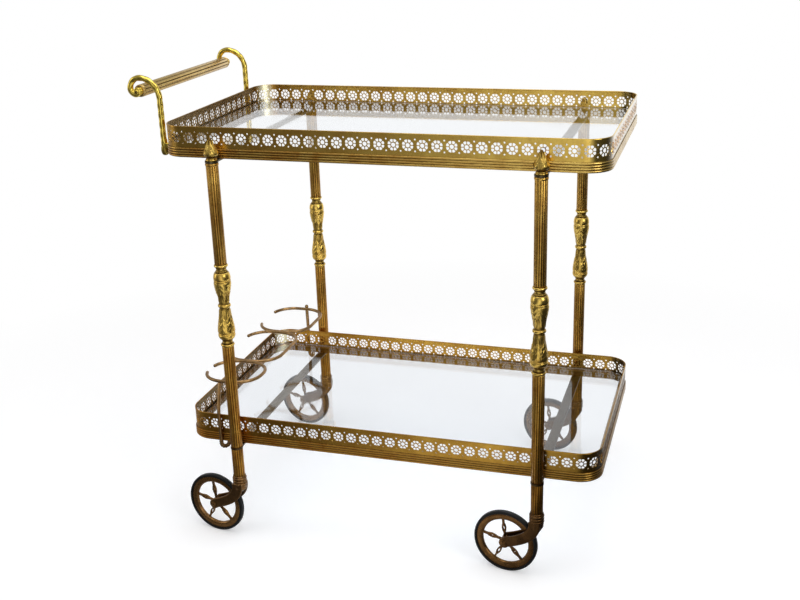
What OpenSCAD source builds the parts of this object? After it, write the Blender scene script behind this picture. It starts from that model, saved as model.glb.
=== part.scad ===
// Dessert trolley: two glazed trays with pierced galleries, carried between four
// turned legs on swivel casters, with a scrolled push handle and a wire bottle rack.
// Millimetres, Z up, origin on the floor. The handle is at -X, the front legs at -Y.

/* [Trays] */
// Outer length of a pierced gallery
tray_l = 700; // [600:1:900]
// Outer width of a pierced gallery
tray_w = 396; // [340:1:520]
// Outer corner radius of a gallery
corner_r = 36; // [28:1:50]
// Height of a gallery strip
gallery_h = 33.5; // [30:0.5:45]
// Thickness of a gallery strip
gallery_t = 1.2; // [0.8:0.1:2]
// Height of the reeded moulding below a gallery
moulding_h = 15.5; // [12:0.5:20]
// Thickness of the moulding's upright wall
moulding_t = 3.2; // [2.5:0.1:4.5]
// How far the reeds stand out past the gallery
moulding_proud = 1.8; // [1:0.1:3]
// Reeds on a moulding, one above the other
moulding_reeds = 4; // [3:1:5]
// Depth of the grooves between the reeds
groove_depth = 1.2; // [0.8:0.1:1.6]
// Width of the inner ledge that carries the glass
ledge_w = 9; // [6:0.5:14]
// Thickness of the ledge
ledge_t = 2; // [1.5:0.1:3]
// Thickness of a glass shelf
glass_t = 5; // [4:0.5:8]
// Gap between a glass shelf and its gallery
glass_gap = 0.8; // [0.4:0.1:2]

/* [Rosettes] */
// Wanted distance between rosettes along a gallery
rosette_pitch = 22.2; // [20.5:0.1:26]
// Height of the rosette centres above the foot of the gallery
rosette_z = 15.7; // [14:0.1:18]
// Radius of a rosette's centre hole
eye_r = 3.1; // [2:0.1:3.6]
// Radius of the circle that the petals' centres lie on
petal_ring_r = 6.9; // [6.4:0.1:7.4]
// Radius of a petal hole
petal_r = 1.75; // [1.2:0.05:2]
// Radius of the dots between rosettes
dot_r = 1.2; // [0.8:0.1:1.4]
// Height of the dots above and below the rosette centres
dot_rise = 8.75; // [7:0.05:10]

/* [Legs] */
// Distance between the leg axes along the trolley
leg_span = 512; // [460:1:540]
// Outer diameter of a leg tube
tube_d = 19.6; // [18:0.2:21]
// Wall of a leg tube
tube_wall = 1.8; // [1.4:0.1:2.4]
// Radius of the grooves along a leg tube
flute_r = 0.7; // [0.4:0.05:0.9]
// Visible length of a foot tube, between caster and lower tray
foot_tube_l = 51; // [40:1:90]
// Length of a middle tube, between lower tray and baluster
middle_tube_l = 183; // [150:1:240]
// Length of a baluster
baluster_l = 142; // [132:1:160]
// Radius of a baluster's bulges
bulge_r = 14.6; // [13:0.1:17]
// Length of an upper tube, between baluster and upper tray
upper_tube_l = 163.5; // [130:0.5:220]
// Height of a finial
finial_h = 35.5; // [28:0.5:40]
// Largest radius of a finial
finial_r = 12.2; // [11:0.1:14]
// Gap between the finials and the mouldings
finial_gap = 0.6; // [0.4:0.1:3]
// Diameter of the tie rod inside each leg
rod_d = 6; // [5:0.1:8]
// Depth of the tie rod's ends in the finial and in the caster stem
rod_grip = 12; // [8:0.5:16]

/* [Straps] */
// Width of a strap
strap_w = 16; // [12:0.5:18]
// Thickness of a strap
strap_t = 3; // [2:0.1:4]
// Diameter of the eyes at a strap's ends
strap_eye_d = 21; // [19:0.2:24]

/* [Handle] */
// Distance of a handle arm from the side of the tray
handle_inset = 35.1; // [34:0.1:66]
// Diameter of an arm's rod
arm_d = 8.2; // [6:0.1:8.6]
// Length of an arm's straight part above its socket
arm_rise = 61; // [50:1:110]
// Radius of an arm's first turn, from the upright to the top
scroll_top_r = 33.5; // [30:0.5:38]
// Radius of its second turn, from the top to the tip
scroll_fall_r = 18; // [16:0.5:24]
// Radius of its third turn, from the tip to the lowest point
scroll_under_r = 9; // [8:0.5:14]
// Radius of its last turn, into the eye
scroll_in_r = 4.5; // [4.5:0.5:10]
// Radius of the eye that ends an arm
arm_eye_r = 6.6; // [5.5:0.1:7.5]
// Length of this eye along the handle bar
arm_eye_l = 8.5; // [8:0.1:12]
// Diameter of the handle bar over its reeds
bar_d = 18; // [14:0.5:22]
// Diameter of the collars at the bar's ends
bar_collar_d = 20; // [17:0.2:24]
// Length of one of these collars
bar_collar_l = 6; // [4:0.5:12]
// Diameter of the handle screws
handle_screw_d = 4; // [3:0.1:5]
// Length of a handle socket
socket_l = 29; // [24:0.5:36]
// Largest radius of a handle socket
socket_r = 6.6; // [6:0.1:8.5]
// Gap between a socket's widest part and the moulding
socket_gap = 3; // [2:0.1:8]
// How far a socket's tip hangs below the upper tray
socket_drop = 6.5; // [3:0.5:10]
// Height of an arm's foot above the tip of its socket
arm_seat = 8; // [6:0.5:12]
// Width of the lug that joins a socket to the moulding
lug_w = 8; // [5:0.5:10]
// Height of this lug
lug_h = 9; // [6:0.5:10]
// Grip of the handle screws in the bar
screw_grip = 18; // [12:1:30]

/* [Bottle rack] */
// Diameter of the rack wire
wire_d = 4; // [3:0.1:5]
// Height of the rings above the lower gallery's rim
rack_rise = 52.5; // [40:0.5:90]
// Distance from the left legs' axes in to the closed side of the rings
rack_set = 21; // [10:0.5:30]
// Depth of a ring, from its closed side to the middle of its open arcs
ring_depth = 58; // [50:1:80]
// Radius of the rings' corners
ring_r = 40; // [34:0.5:42]
// Sweep of the arcs that end a ring
ring_sweep = 75; // [60:1:85]
// Width of the front ring
front_ring_w = 88; // [86:1:110]
// Width of the middle ring
middle_ring_w = 139; // [86:1:150]
// Width of the back ring
back_ring_w = 124; // [86:1:140]
// Shift of the row of rings from the tray's centre line
rack_shift = 0.5; // [-4:0.1:4]
// Radius of the hook under each post
hook_r = 5.6; // [5:0.1:9]
// Depth of a hook's bend below the lower tray
hook_drop = 3; // [2:0.1:6]
// Angle that the hooks turn in under the tray
hook_turn = 35; // [25:1:45]
// Gap between the posts and the moulding
post_gap = 1.2; // [0.6:0.1:2.5]
// Height above the lower gallery at which the posts bend
post_bend = 8; // [4:0.5:20]
// Distance from the middle of the rings' open arcs to the front post
front_post_set = 4; // [2:0.5:10]
// Distance from there to the back post
back_post_set = 8; // [4:0.5:14]
// Distance from there to the back post's tip
back_tip_set = 15; // [12:0.5:25]
// Radius of the knob on the back post
knob_r = 3; // [2.5:0.1:4]

/* [Casters] */
// Outer radius of a tyre
wheel_r = 53.7; // [45:0.1:60]
// Radial thickness of a tyre
tyre_t = 5.6; // [4.5:0.1:9]
// Width of a tyre
tyre_w = 10; // [8:0.1:11]
// Radial thickness of a wheel's rim
rim_t = 9.4; // [7:0.1:11]
// Width of a wheel's rim
rim_w = 8.6; // [7:0.1:9.6]
// Radius of a wheel's hub
hub_r = 8; // [7:0.1:10]
// Width of a wheel's spokes across the wheel's axis
spoke_w = 3.2; // [2:0.1:4]
// Thickness of the spokes along the wheel's axis
spoke_t = 4; // [3:0.1:6]
// Width of a spoke's lozenge
lozenge_w = 6.8; // [5:0.1:8]
// Distance from a fork's swivel axis to its wheel axis
trail = 52; // [46:0.5:56]
// Angle that the resting casters point off the trolley's length
rest_turn = 9; // [0:1:20]
// Diameter of an axle
axle_d = 5; // [4:0.1:6]
// Diameter of a fork's neck
neck_d = 22; // [20:0.2:26]
// Height of a fork's neck above its cheeks
neck_l = 27; // [22:0.5:40]
// Thickness of a fork's cheek
cheek_t = 4.2; // [3:0.1:5]
// Gap between a tyre and the fork's cheeks
tyre_gap = 1.5; // [1:0.1:3]
// Gap between a tyre and the fork's crown
crown_gap = 2.5; // [2:0.1:5]
// Depth of the seat for a foot tube in the top of its fork
tube_seat = 3; // [2:0.1:4]
// Distance between the ribs round a fork's neck
rib_step = 5; // [4:0.1:6]
// Half width of a cheek beside the hub
cheek_r = 8.6; // [8:0.1:11]
// Diameter of the pintle that a fork turns on
pintle_d = 8; // [7:0.1:10]
// Length of the plug that holds the pintle in a foot tube
plug_l = 24; // [20:0.5:40]

/* [Clearances] */
// Running clearance of axles and pintles, on the radius
run_gap = 0.05; // [0.02:0.01:0.1]
// Clearance of fixed pieces that slide into each other, on the radius
fit_gap = 0.05; // [0.02:0.01:0.15]
// Gap between faces that turn past each other, and between soldered wires
face_gap = 0.3; // [0.2:0.05:0.5]

/* [Hidden] */
$fn = 48;
LEGS = [["fl", -1, -1], ["fr", 1, -1], ["bl", -1, 1], ["br", 1, 1]];
LEG_PIECES = ["finial", "upper_tube", "baluster", "middle_tube", "foot_tube",
  "fork", "axle", "wheel", "tyre"];
SINGLE_PIECES = ["upper_moulding", "lower_moulding", "upper_gallery", "lower_gallery",
  "upper_glass", "lower_glass", "upper_strap_left", "upper_strap_right",
  "lower_strap_left", "lower_strap_right", "tie_rods", "caster_stems",
  "handle_bar", "handle_arm_front", "handle_arm_back", "handle_socket_front",
  "handle_socket_back", "handle_screws", "rack_post_front", "rack_post_back",
  "rack_ring_front", "rack_ring_middle", "rack_ring_back"];

brass = [0.66, 0.52, 0.24];
dark_brass = [0.42, 0.31, 0.16];
glass_tint = [0.80, 0.87, 0.88, 0.5];
black_rubber = [0.08, 0.08, 0.09];
steel = [0.6, 0.6, 0.62];

// Casters: heights from the floor up
tube_r = tube_d / 2;
hub_w = tyre_w + 2 * tyre_gap - 2 * face_gap;
cheek_in = tyre_w / 2 + tyre_gap;
cheek_out = cheek_in + cheek_t;
neck_r = neck_d / 2;
neck_reach = min(trail, abs(trail - neck_r));
crown_z = wheel_r + sqrt(max(0, pow(wheel_r, 2) - pow(neck_reach, 2))) + crown_gap;
fork_top_z = crown_z + neck_l;
tube_foot_z = fork_top_z - tube_seat + face_gap;

// Trays and legs: heights from the casters up
lower_strap_z = fork_top_z + foot_tube_l;
lower_tray_z = lower_strap_z + strap_t;
baluster_z = lower_tray_z + middle_tube_l;
upper_tube_z = baluster_z + baluster_l;
upper_strap_z = upper_tube_z + upper_tube_l;
upper_tray_z = upper_strap_z + strap_t;
rod_bottom_z = tube_foot_z + plug_l - rod_grip;
rod_top_z = upper_tray_z + rod_grip;

// Places on plan; the handle's overhang is shared out so that the origin is central
leg_y = tray_w / 2 + moulding_proud + finial_gap + finial_r;
moulding_x = tray_l / 2 + moulding_proud;
scroll_r = [scroll_top_r, scroll_fall_r, scroll_under_r, scroll_in_r];
arm_x = -(moulding_x + socket_gap + socket_r);
bar_x = arm_x - scroll_r[0] - scroll_r[1] + scroll_r[2] + scroll_r[3];
handle_end_x = arm_x - scroll_r[0] - scroll_r[1] - arm_d / 2;
middle_x = -(moulding_x + handle_end_x) / 2;

// Gallery layout: rosettes at even steps round each quarter of the outline
side_l = tray_l / 2 - corner_r;
side_w = tray_w / 2 - corner_r;
corner_arc = PI / 2 * corner_r;
quarter = side_l + corner_arc + side_w;
quarter_count = round(quarter / rosette_pitch);
pitch = quarter / quarter_count;
rosette_r = petal_ring_r + petal_r;
seam = 0.2;
seam_shift = (dot_r + pitch / 2 - rosette_r) / 2;
long_count = floor((side_l - seam_shift - seam) / pitch);
wide_count = floor((side_w - seam_shift - seam) / pitch);
petals = 8;

// Handle
handle_y = tray_w / 2 - handle_inset;
socket_z = upper_tray_z - socket_drop;
arm_foot_z = socket_z + arm_seat;
arm_bend_z = socket_z + socket_l + arm_rise;
bar_z = arm_bend_z + scroll_r[0] - scroll_r[1] - scroll_r[2] + scroll_r[3];
bar_l = 2 * handle_y - arm_eye_l - 2 * face_gap;
bar_reeds = 14;

// Bottle rack
rack_z = lower_tray_z + moulding_h + gallery_h + rack_rise;
wire_step = wire_d + face_gap;
ring_w = [front_ring_w, middle_ring_w, back_ring_w];
rack_w = ring_w[0] + ring_w[1] + ring_w[2] + 2 * wire_step;
rack_y0 = rack_shift - rack_w / 2;
ring_y = [rack_y0, rack_y0 + ring_w[0] + wire_step, rack_y0 + ring_w[0] + ring_w[1] + 2 * wire_step];
rack_x = leg_span / 2 - rack_set;
arc_x = -rack_x - ring_depth;
post_y = tray_w / 2 + moulding_proud + post_gap + wire_d / 2;

// Leg tubes
tube_flutes = 14;

// ---------- helpers ----------

// A profile carried round a rounded rectangle; its x is the distance outside the outline
module carried_round(l, w, r) {
  for (turn = [0, 180]) {
    rotate(turn) translate([l / 2, w / 2 - r, 0])
      rotate([90, 0, 0]) linear_extrude(w - 2 * r) children();
    rotate(turn + 90) translate([w / 2, l / 2 - r, 0])
      rotate([90, 0, 0]) linear_extrude(l - 2 * r) children();
  }
  for (corner = [[1, 1, 0], [-1, 1, 90], [-1, -1, 180], [1, -1, 270]])
    translate([corner[0] * (l / 2 - r), corner[1] * (w / 2 - r), 0])
      rotate(corner[2])
        rotate_extrude(angle = 90)
          translate([r, 0])
            children();
}

// A rounded rectangle
module rounded(l, w, r) {
  square([l - 2 * r, w], center = true);
  square([l, w - 2 * r], center = true);
  for (x = [-1, 1], y = [-1, 1])
    translate([x * (l / 2 - r), y * (w / 2 - r)]) circle(r);
}

// A straight piece of round wire between two points, with a ball at each end
module wire(from, to, d) {
  run = to - from;
  ball_d = d + 0.1;
  translate(from)
    rotate([0, acos(run[2] / norm(run)), atan2(run[1], run[0])])
      cylinder(h = norm(run), d = d);
  for (end = [from, to]) translate(end) sphere(d = ball_d);
}

// A bent round bar, part of a ring in the XY plane
module bend(r, d, start, sweep) {
  rotate(start) rotate_extrude(angle = sweep) translate([r, 0]) circle(d = d);
}

// ---------- trays ----------

module moulding_profile() {
  reed_r = moulding_h / moulding_reeds / 2;
  wall_x = moulding_proud - groove_depth;
  translate([moulding_proud - moulding_t, 0]) square([wall_x - moulding_proud + moulding_t, moulding_h]);
  translate([-gallery_t - ledge_w, moulding_h - ledge_t]) square([gallery_t + ledge_w, ledge_t]);
  for (i = [0:moulding_reeds - 1])
    translate([moulding_proud - reed_r, (2 * i + 1) * reed_r]) circle(reed_r);
}

module moulding(z) {
  color(dark_brass)
    translate([middle_x, 0, z])
      carried_round(tray_l, tray_w, corner_r) moulding_profile();
}

module rosette() {
  circle(eye_r);
  for (i = [0:petals - 1])
    rotate((i + 0.5) * 360 / petals) translate([petal_ring_r, 0]) circle(petal_r);
}

module dots() {
  for (y = [-dot_rise, dot_rise]) translate([0, y]) circle(dot_r);
}

// A straight gallery strip with rosettes on both sides of its middle, facing +Y at y = 0
module gallery_strip(count) {
  half_l = count * pitch + seam_shift - seam / 2;
  rotate([90, 0, 0]) linear_extrude(gallery_t) difference() {
    translate([-half_l, 0]) square([2 * half_l, gallery_h]);
    translate([0, rosette_z]) {
      for (i = [-count:count - 1]) translate([(i + 0.5) * pitch, 0]) rosette();
      for (i = [-count:count]) translate([i * pitch, 0]) dots();
    }
  }
}

// Puts its children on the outline of the +X +Y quarter, s along it from the middle of
// the long side, with their z pointing outwards and their y up
module on_quarter(s) {
  turn = min(90, max(0, (s - side_l) / corner_r * 180 / PI));
  past = max(0, s - side_l - corner_arc);
  x = min(s, side_l) + corner_r * sin(turn);
  y = side_w + corner_r * cos(turn) - past;
  translate([x, y, 0]) rotate(-turn) rotate([90, 0, 180]) children();
}

// The bent gallery piece of the +X +Y corner
module gallery_corner() {
  start_x = long_count * pitch + seam_shift + seam / 2;
  start_y = wide_count * pitch + seam_shift + seam / 2;
  difference() {
    linear_extrude(gallery_h) intersection() {
      difference() {
        rounded(tray_l, tray_w, corner_r);
        rounded(tray_l - 2 * gallery_t, tray_w - 2 * gallery_t, corner_r - gallery_t);
      }
      translate([start_x, start_y]) square([tray_l, tray_w]);
    }
    for (i = [long_count:quarter_count - wide_count - 1])
      on_quarter((i + 0.5) * pitch)
        translate([0, rosette_z, -2 * gallery_t]) linear_extrude(3 * gallery_t) rosette();
    for (i = [long_count + 1:quarter_count - wide_count - 1])
      on_quarter(i * pitch)
        translate([0, rosette_z, -2 * gallery_t]) linear_extrude(3 * gallery_t) dots();
  }
}

module gallery(z) {
  color(brass) translate([middle_x, 0, z]) {
    for (side = [-1, 1]) {
      rotate(side > 0 ? 0 : 180) translate([0, tray_w / 2, 0]) gallery_strip(long_count);
      rotate(side * 90) translate([0, tray_l / 2, 0]) gallery_strip(wide_count);
    }
    for (x = [0, 1], y = [0, 1]) mirror([x, 0, 0]) mirror([0, y, 0]) gallery_corner();
  }
}

module glass(z) {
  inset = gallery_t + glass_gap;
  color(glass_tint)
    translate([middle_x, 0, z])
      linear_extrude(glass_t) rounded(tray_l - 2 * inset, tray_w - 2 * inset, corner_r - inset);
}

module strap(side, z) {
  color(dark_brass)
    translate([middle_x + side * leg_span / 2, 0, z])
      linear_extrude(strap_t)
        difference() {
          union() {
            square([strap_w, 2 * leg_y], center = true);
            for (y = [-leg_y, leg_y]) translate([0, y]) circle(d = strap_eye_d);
          }
          for (y = [-leg_y, leg_y]) translate([0, y]) circle(d = rod_d + 2 * fit_gap);
        }
}

// ---------- legs ----------

module at_leg(leg, z) {
  translate([middle_x + leg[1] * leg_span / 2, leg[2] * leg_y, z]) children();
}

module leg_tube(l) {
  color(brass) linear_extrude(l) difference() {
    circle(tube_r);
    circle(tube_r - tube_wall);
    for (i = [0:tube_flutes - 1])
      rotate(i * 360 / tube_flutes) translate([tube_r, 0]) circle(flute_r);
  }
}

// Half of a baluster's outline, from its middle ring to its end, as [radius, height]
function baluster_half(h) = [
  [bulge_r * 0.71, 0], [bulge_r * 0.71, 2.4], [bulge_r * 0.58, 4.4], [bulge_r * 0.6, h * 0.12],
  [bulge_r * 0.72, h * 0.28], [bulge_r * 0.88, h * 0.44], [bulge_r * 0.97, h * 0.54],
  [bulge_r, h * 0.61], [bulge_r * 0.98, h * 0.67], [bulge_r * 0.88, h * 0.735],
  [bulge_r * 0.74, h * 0.79], [bulge_r * 0.62, h * 0.83], [bulge_r * 0.55, h * 0.86],
  [bulge_r * 0.56, h * 0.9], [tube_r - 0.8, h * 0.925], [tube_r + 1.2, h * 0.945],
  [tube_r + 1.4, h - 2.4], [tube_r + 0.8, h - 0.8], [tube_r + 0.2, h]
];

module baluster() {
  h = baluster_l / 2;
  half = baluster_half(h);
  bore_r = rod_d / 2 + fit_gap;
  color(brass)
    translate([0, 0, h])
      rotate_extrude()
        polygon(concat(
          [[bore_r, -h]],
          [for (i = [len(half) - 1:-1:1]) [half[i][0], -half[i][1]]],
          [for (p = half) p],
          [[bore_r, h]]));
}

// A leaf bud on a turned foot
module finial() {
  color(brass)
    difference() {
      rotate_extrude() polygon([
        [0, 0], [finial_r - 3.6, 0], [finial_r - 3.0, finial_h * 0.03],
        [finial_r - 3.0, finial_h * 0.07], [finial_r - 3.9, finial_h * 0.11],
        [finial_r - 4.2, finial_h * 0.15], [finial_r - 2.8, finial_h * 0.21],
        [finial_r - 1.0, finial_h * 0.3], [finial_r - 0.2, finial_h * 0.38], [finial_r, finial_h * 0.44],
        [finial_r - 0.5, finial_h * 0.52], [finial_r - 1.9, finial_h * 0.61],
        [finial_r - 4.2, finial_h * 0.72], [finial_r - 6.8, finial_h * 0.83],
        [finial_r - 9.2, finial_h * 0.92], [finial_r - 10.6, finial_h * 0.98], [0, finial_h]
      ]);
      translate([0, 0, -1]) cylinder(h = rod_grip + 1.5, r = rod_d / 2 + fit_gap);
    }
}

module tie_rods() {
  color(steel) for (leg = LEGS)
    at_leg(leg, rod_bottom_z) cylinder(h = rod_top_z - rod_bottom_z, d = rod_d);
}

// ---------- casters ----------

module caster_stems() {
  plug_r = tube_r - tube_wall - fit_gap;
  head_h = 2.6;
  color(steel) for (leg = LEGS) at_leg(leg, 0) difference() {
    union() {
      translate([0, 0, tube_foot_z]) cylinder(h = plug_l, r = plug_r);
      translate([0, 0, crown_z - face_gap - head_h])
        cylinder(h = tube_foot_z - crown_z + face_gap + head_h + 1, d = pintle_d);
      translate([0, 0, crown_z - face_gap - head_h]) cylinder(h = head_h, r = cheek_in - face_gap);
    }
    translate([0, 0, rod_bottom_z - 0.5]) cylinder(h = plug_l, r = rod_d / 2 + fit_gap);
  }
}

// Turns its children so that their -X points along the resting caster
module at_caster(leg, z) {
  at_leg(leg, z) rotate(-rest_turn) children();
}

// A point on the cheek's middle line, from the crown at t = 0 to the hub at t = 1
function bezier(t, a, b, c, d) =
  pow(1 - t, 3) * a + 3 * pow(1 - t, 2) * t * b + 3 * (1 - t) * pow(t, 2) * c + pow(t, 3) * d;
function cheek_point(t) = bezier(t,
  [-1, crown_z + 12], [2, wheel_r + 26], [-20, wheel_r + 12], [-trail, wheel_r + 1.5]);
function cheek_edge(t, side) =
  let (ahead = cheek_point(t + 0.01) - cheek_point(t - 0.01),
       half = cheek_r + (neck_r - 0.8 - cheek_r) * pow(1 - t, 2))
  cheek_point(t) + side * half * [-ahead[1], ahead[0]] / norm(ahead);

module cheek_outline() {
  steps = 12;
  polygon(concat(
    [for (i = [0:steps]) cheek_edge(i / steps, 1)],
    [for (i = [steps:-1:0]) cheek_edge(i / steps, -1)]));
  translate([-trail, wheel_r + 0.5]) circle(cheek_r);
}

module fork() {
  rib_r = 1.2;
  color(dark_brass) difference() {
    union() {
      translate([0, 0, crown_z]) cylinder(h = neck_l, r = neck_r);
      for (i = [1:3])
        translate([0, 0, fork_top_z - i * rib_step])
          rotate_extrude() translate([neck_r - rib_r / 2, 0]) circle(rib_r);
      for (side = [-1, 1])
        translate([0, side * (cheek_in + cheek_t / 2) + cheek_t / 2, 0])
          rotate([90, 0, 0]) linear_extrude(cheek_t) cheek_outline();
    }
    translate([0, 0, fork_top_z - tube_seat]) cylinder(h = tube_seat + 1, r = tube_r + face_gap + 0.1);
    translate([0, 0, crown_z - 1]) cylinder(h = neck_l, r = pintle_d / 2 + run_gap);
    translate([-trail, cheek_out + 1, wheel_r])
      rotate([90, 0, 0]) cylinder(h = 2 * cheek_out + 2, r = axle_d / 2 + fit_gap);
  }
}

module axle() {
  head_h = 1.4;
  color(dark_brass) translate([-trail, 0, wheel_r]) rotate([90, 0, 0]) {
    cylinder(h = 2 * cheek_out + 1, d = axle_d, center = true);
    for (side = [-1, 1])
      translate([0, 0, side * (cheek_out + fit_gap + head_h / 2)])
        cylinder(h = head_h, d = axle_d + 4, center = true);
  }
}

module spoke_outline(rim_in) {
  middle = (hub_r + rim_in) / 2;
  half = (rim_in - hub_r) * 0.27;
  difference() {
    union() {
      translate([hub_r - 1, -spoke_w / 2]) square([rim_in - hub_r + 2, spoke_w]);
      polygon([[middle - half, 0], [middle - half * 0.6, lozenge_w * 0.36], [middle, lozenge_w / 2],
        [middle + half * 0.6, lozenge_w * 0.36], [middle + half, 0],
        [middle + half * 0.6, -lozenge_w * 0.36], [middle, -lozenge_w / 2],
        [middle - half * 0.6, -lozenge_w * 0.36]]);
    }
    polygon([[middle - half * 0.6, 0], [middle, lozenge_w * 0.22],
      [middle + half * 0.6, 0], [middle, -lozenge_w * 0.22]]);
  }
}

module wheel() {
  spokes = 5;
  first_spoke = 25;
  // the rim's rounded side, as shares of its thickness and width
  side = [[0, 0], [0.04, 0.26], [0.14, 0.4], [0.32, 0.48], [0.52, 0.5], [0.76, 0.47], [1, 0.4]];
  rim_out = wheel_r - tyre_t;
  rim_in = rim_out - rim_t;
  color(dark_brass)
    translate([-trail, 0, wheel_r]) rotate([90, 0, 0]) difference() {
      union() {
        cylinder(h = hub_w, r = hub_r, center = true);
        linear_extrude(spoke_t, center = true)
          for (i = [0:spokes - 1]) rotate(first_spoke + i * 360 / spokes) spoke_outline(rim_in);
        rotate_extrude() translate([rim_in, 0]) {
          polygon(concat(
            [for (p = side) [p[0] * rim_t, p[1] * rim_w]],
            [for (i = [len(side) - 1:-1:1]) [side[i][0] * rim_t, -side[i][1] * rim_w]]));
        }
      }
      cylinder(h = hub_w + 2, r = axle_d / 2 + run_gap, center = true);
    }
}

module tyre() {
  rim_out = wheel_r - tyre_t;
  shoulder = min(tyre_w * 0.3, tyre_t / 2 - fit_gap);
  color(black_rubber)
    translate([-trail, 0, wheel_r]) rotate([90, 0, 0])
      rotate_extrude() translate([rim_out, 0]) {
        translate([fit_gap, -tyre_w / 2]) square([tyre_t - shoulder - fit_gap, tyre_w]);
        for (y = [-1, 1])
          translate([tyre_t - shoulder, y * (tyre_w / 2 - shoulder)]) circle(shoulder);
        translate([fit_gap, -tyre_w / 2 + shoulder]) square([tyre_t - fit_gap, tyre_w - 2 * shoulder]);
      }
}

// ---------- handle ----------

module at_arm(side) {
  translate([middle_x + arm_x, side * handle_y, 0]) children();
}

module handle_arm(side) {
  r = scroll_r;
  top = arm_bend_z + r[0];
  color(brass) at_arm(side) difference() {
    union() {
      translate([0, 0, arm_foot_z]) cylinder(h = arm_bend_z - arm_foot_z, d = arm_d);
      // the scroll, drawn in the XY plane and stood up
      translate([0, 0, arm_bend_z]) rotate([90, 0, 0]) {
        translate([-r[0], 0]) bend(r[0], arm_d, 0, 90);
        translate([-r[0], r[0] - r[1]]) bend(r[1], arm_d, 90, 90);
        translate([-r[0] - r[1] + r[2], r[0] - r[1]]) bend(r[2], arm_d, 180, 90);
        translate([-r[0] - r[1] + r[2], r[0] - r[1] - r[2] + r[3]]) bend(r[3], arm_d, 270, 90);
      }
      translate([bar_x - arm_x, 0, bar_z])
        rotate([90, 0, 0]) cylinder(h = arm_eye_l, r = arm_eye_r, center = true);
    }
    translate([bar_x - arm_x, 0, bar_z])
      rotate([90, 0, 0]) cylinder(h = 2 * arm_eye_l, r = handle_screw_d / 2 + fit_gap, center = true);
  }
}

module handle_socket(side) {
  l = socket_l;
  lug_l = socket_r + socket_gap - 0.1;
  color(brass) at_arm(side) difference() {
    union() {
      translate([0, 0, socket_z]) rotate_extrude() polygon([
        [0, 0], [1.8, 0.6], [2.6, 2], [2.2, 3.4], [3.6, l * 0.16], [socket_r - 1.4, l * 0.26],
        [socket_r - 0.3, l * 0.4], [socket_r, l * 0.55], [socket_r - 0.4, l * 0.7],
        [socket_r - 1.3, l * 0.8], [socket_r - 1.6, l * 0.84], [socket_r - 0.9, l * 0.88],
        [socket_r - 0.9, l * 0.94], [socket_r - 1.4, l], [0, l]
      ]);
      translate([0, -lug_w / 2, socket_z + l * 0.4]) cube([lug_l, lug_w, lug_h]);
    }
    translate([0, 0, arm_foot_z]) cylinder(h = l, r = arm_d / 2 + fit_gap);
  }
}

module handle_bar() {
  reed_r = PI * bar_d / bar_reeds / 2;
  ring_r = bar_d / 2 - reed_r;
  color(brass) translate([middle_x + bar_x, 0, bar_z]) rotate([90, 0, 0]) difference() {
    union() {
      linear_extrude(bar_l - 2, center = true) {
        circle(ring_r + reed_r * 0.35);
        for (i = [0:bar_reeds - 1]) rotate(i * 360 / bar_reeds) translate([ring_r, 0]) circle(reed_r);
      }
      for (side = [-1, 1])
        translate([0, 0, side * (bar_l - bar_collar_l) / 2])
          cylinder(h = bar_collar_l, d = bar_collar_d, center = true);
    }
    for (side = [-1, 1])
      translate([0, 0, side * bar_l / 2])
        cylinder(h = 2 * screw_grip + 4, r = handle_screw_d / 2 + fit_gap, center = true);
  }
}

module handle_screws() {
  head_h = 2.6;
  color(brass) for (side = [-1, 1])
    translate([middle_x + bar_x, side * (handle_y + arm_eye_l / 2 + 0.1), bar_z])
      rotate([-90 * side, 0, 0]) {
        cylinder(h = head_h, d = handle_screw_d + 4);
        translate([0, 0, -arm_eye_l - screw_grip])
          cylinder(h = arm_eye_l + screw_grip + 1, d = handle_screw_d);
      }
}

// ---------- bottle rack ----------

// One open ring, from y0 to y0 + w, open towards -X
module rack_ring(i) {
  w = ring_w[i];
  y0 = ring_y[i];
  straight = ring_depth - ring_r;
  color(dark_brass) translate([middle_x, 0, rack_z]) {
    for (far = [0, 1]) translate([0, y0 + w / 2, 0]) mirror([0, far, 0]) {
      translate([-rack_x - ring_r, w / 2 - ring_r]) bend(ring_r, wire_d, 0, 90);
      translate([arc_x, w / 2 - ring_r]) bend(ring_r, wire_d, 90, ring_sweep);
      translate([arc_x, w / 2]) rotate([0, 90, 0]) cylinder(h = straight, d = wire_d);
    }
    translate([-rack_x, y0 + ring_r]) rotate([-90, 0, 0]) cylinder(h = w - 2 * ring_r, d = wire_d);
  }
}

// A post that hooks under the moulding, climbs past the tray and leans in to the rings
module rack_post(side, x, tip) {
  bend_z = lower_tray_z + moulding_h + gallery_h + post_bend;
  hook_z = lower_tray_z - hook_drop;
  color(dark_brass) {
    wire([x, side * post_y, hook_z], [x, side * post_y, bend_z], wire_d);
    wire([x, side * post_y, bend_z], tip, wire_d);
    translate([x, side * post_y, hook_z]) rotate(-side * hook_turn) rotate([90, 0, 0]) {
      translate([hook_r, 0]) bend(hook_r, wire_d, 180, 180);
      translate([2 * hook_r, 0]) rotate([-90, 0, 0])
        cylinder(h = hook_drop - face_gap, d = wire_d);
    }
  }
}

module rack_post_front() {
  tip = [middle_x + arc_x - front_post_set / 2, ring_y[0], rack_z - wire_step];
  rack_post(-1, middle_x + arc_x + front_post_set, tip);
}

module rack_post_back() {
  edge_y = ring_y[2] + ring_w[2];
  tip = [middle_x + arc_x + back_tip_set, edge_y + wire_step, rack_z + wire_d / 2];
  rack_post(1, middle_x + arc_x + back_post_set, tip);
  color(brass) translate(tip + [0, 0, wire_d / 2]) sphere(knob_r);
}

// ---------- pieces ----------

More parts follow.
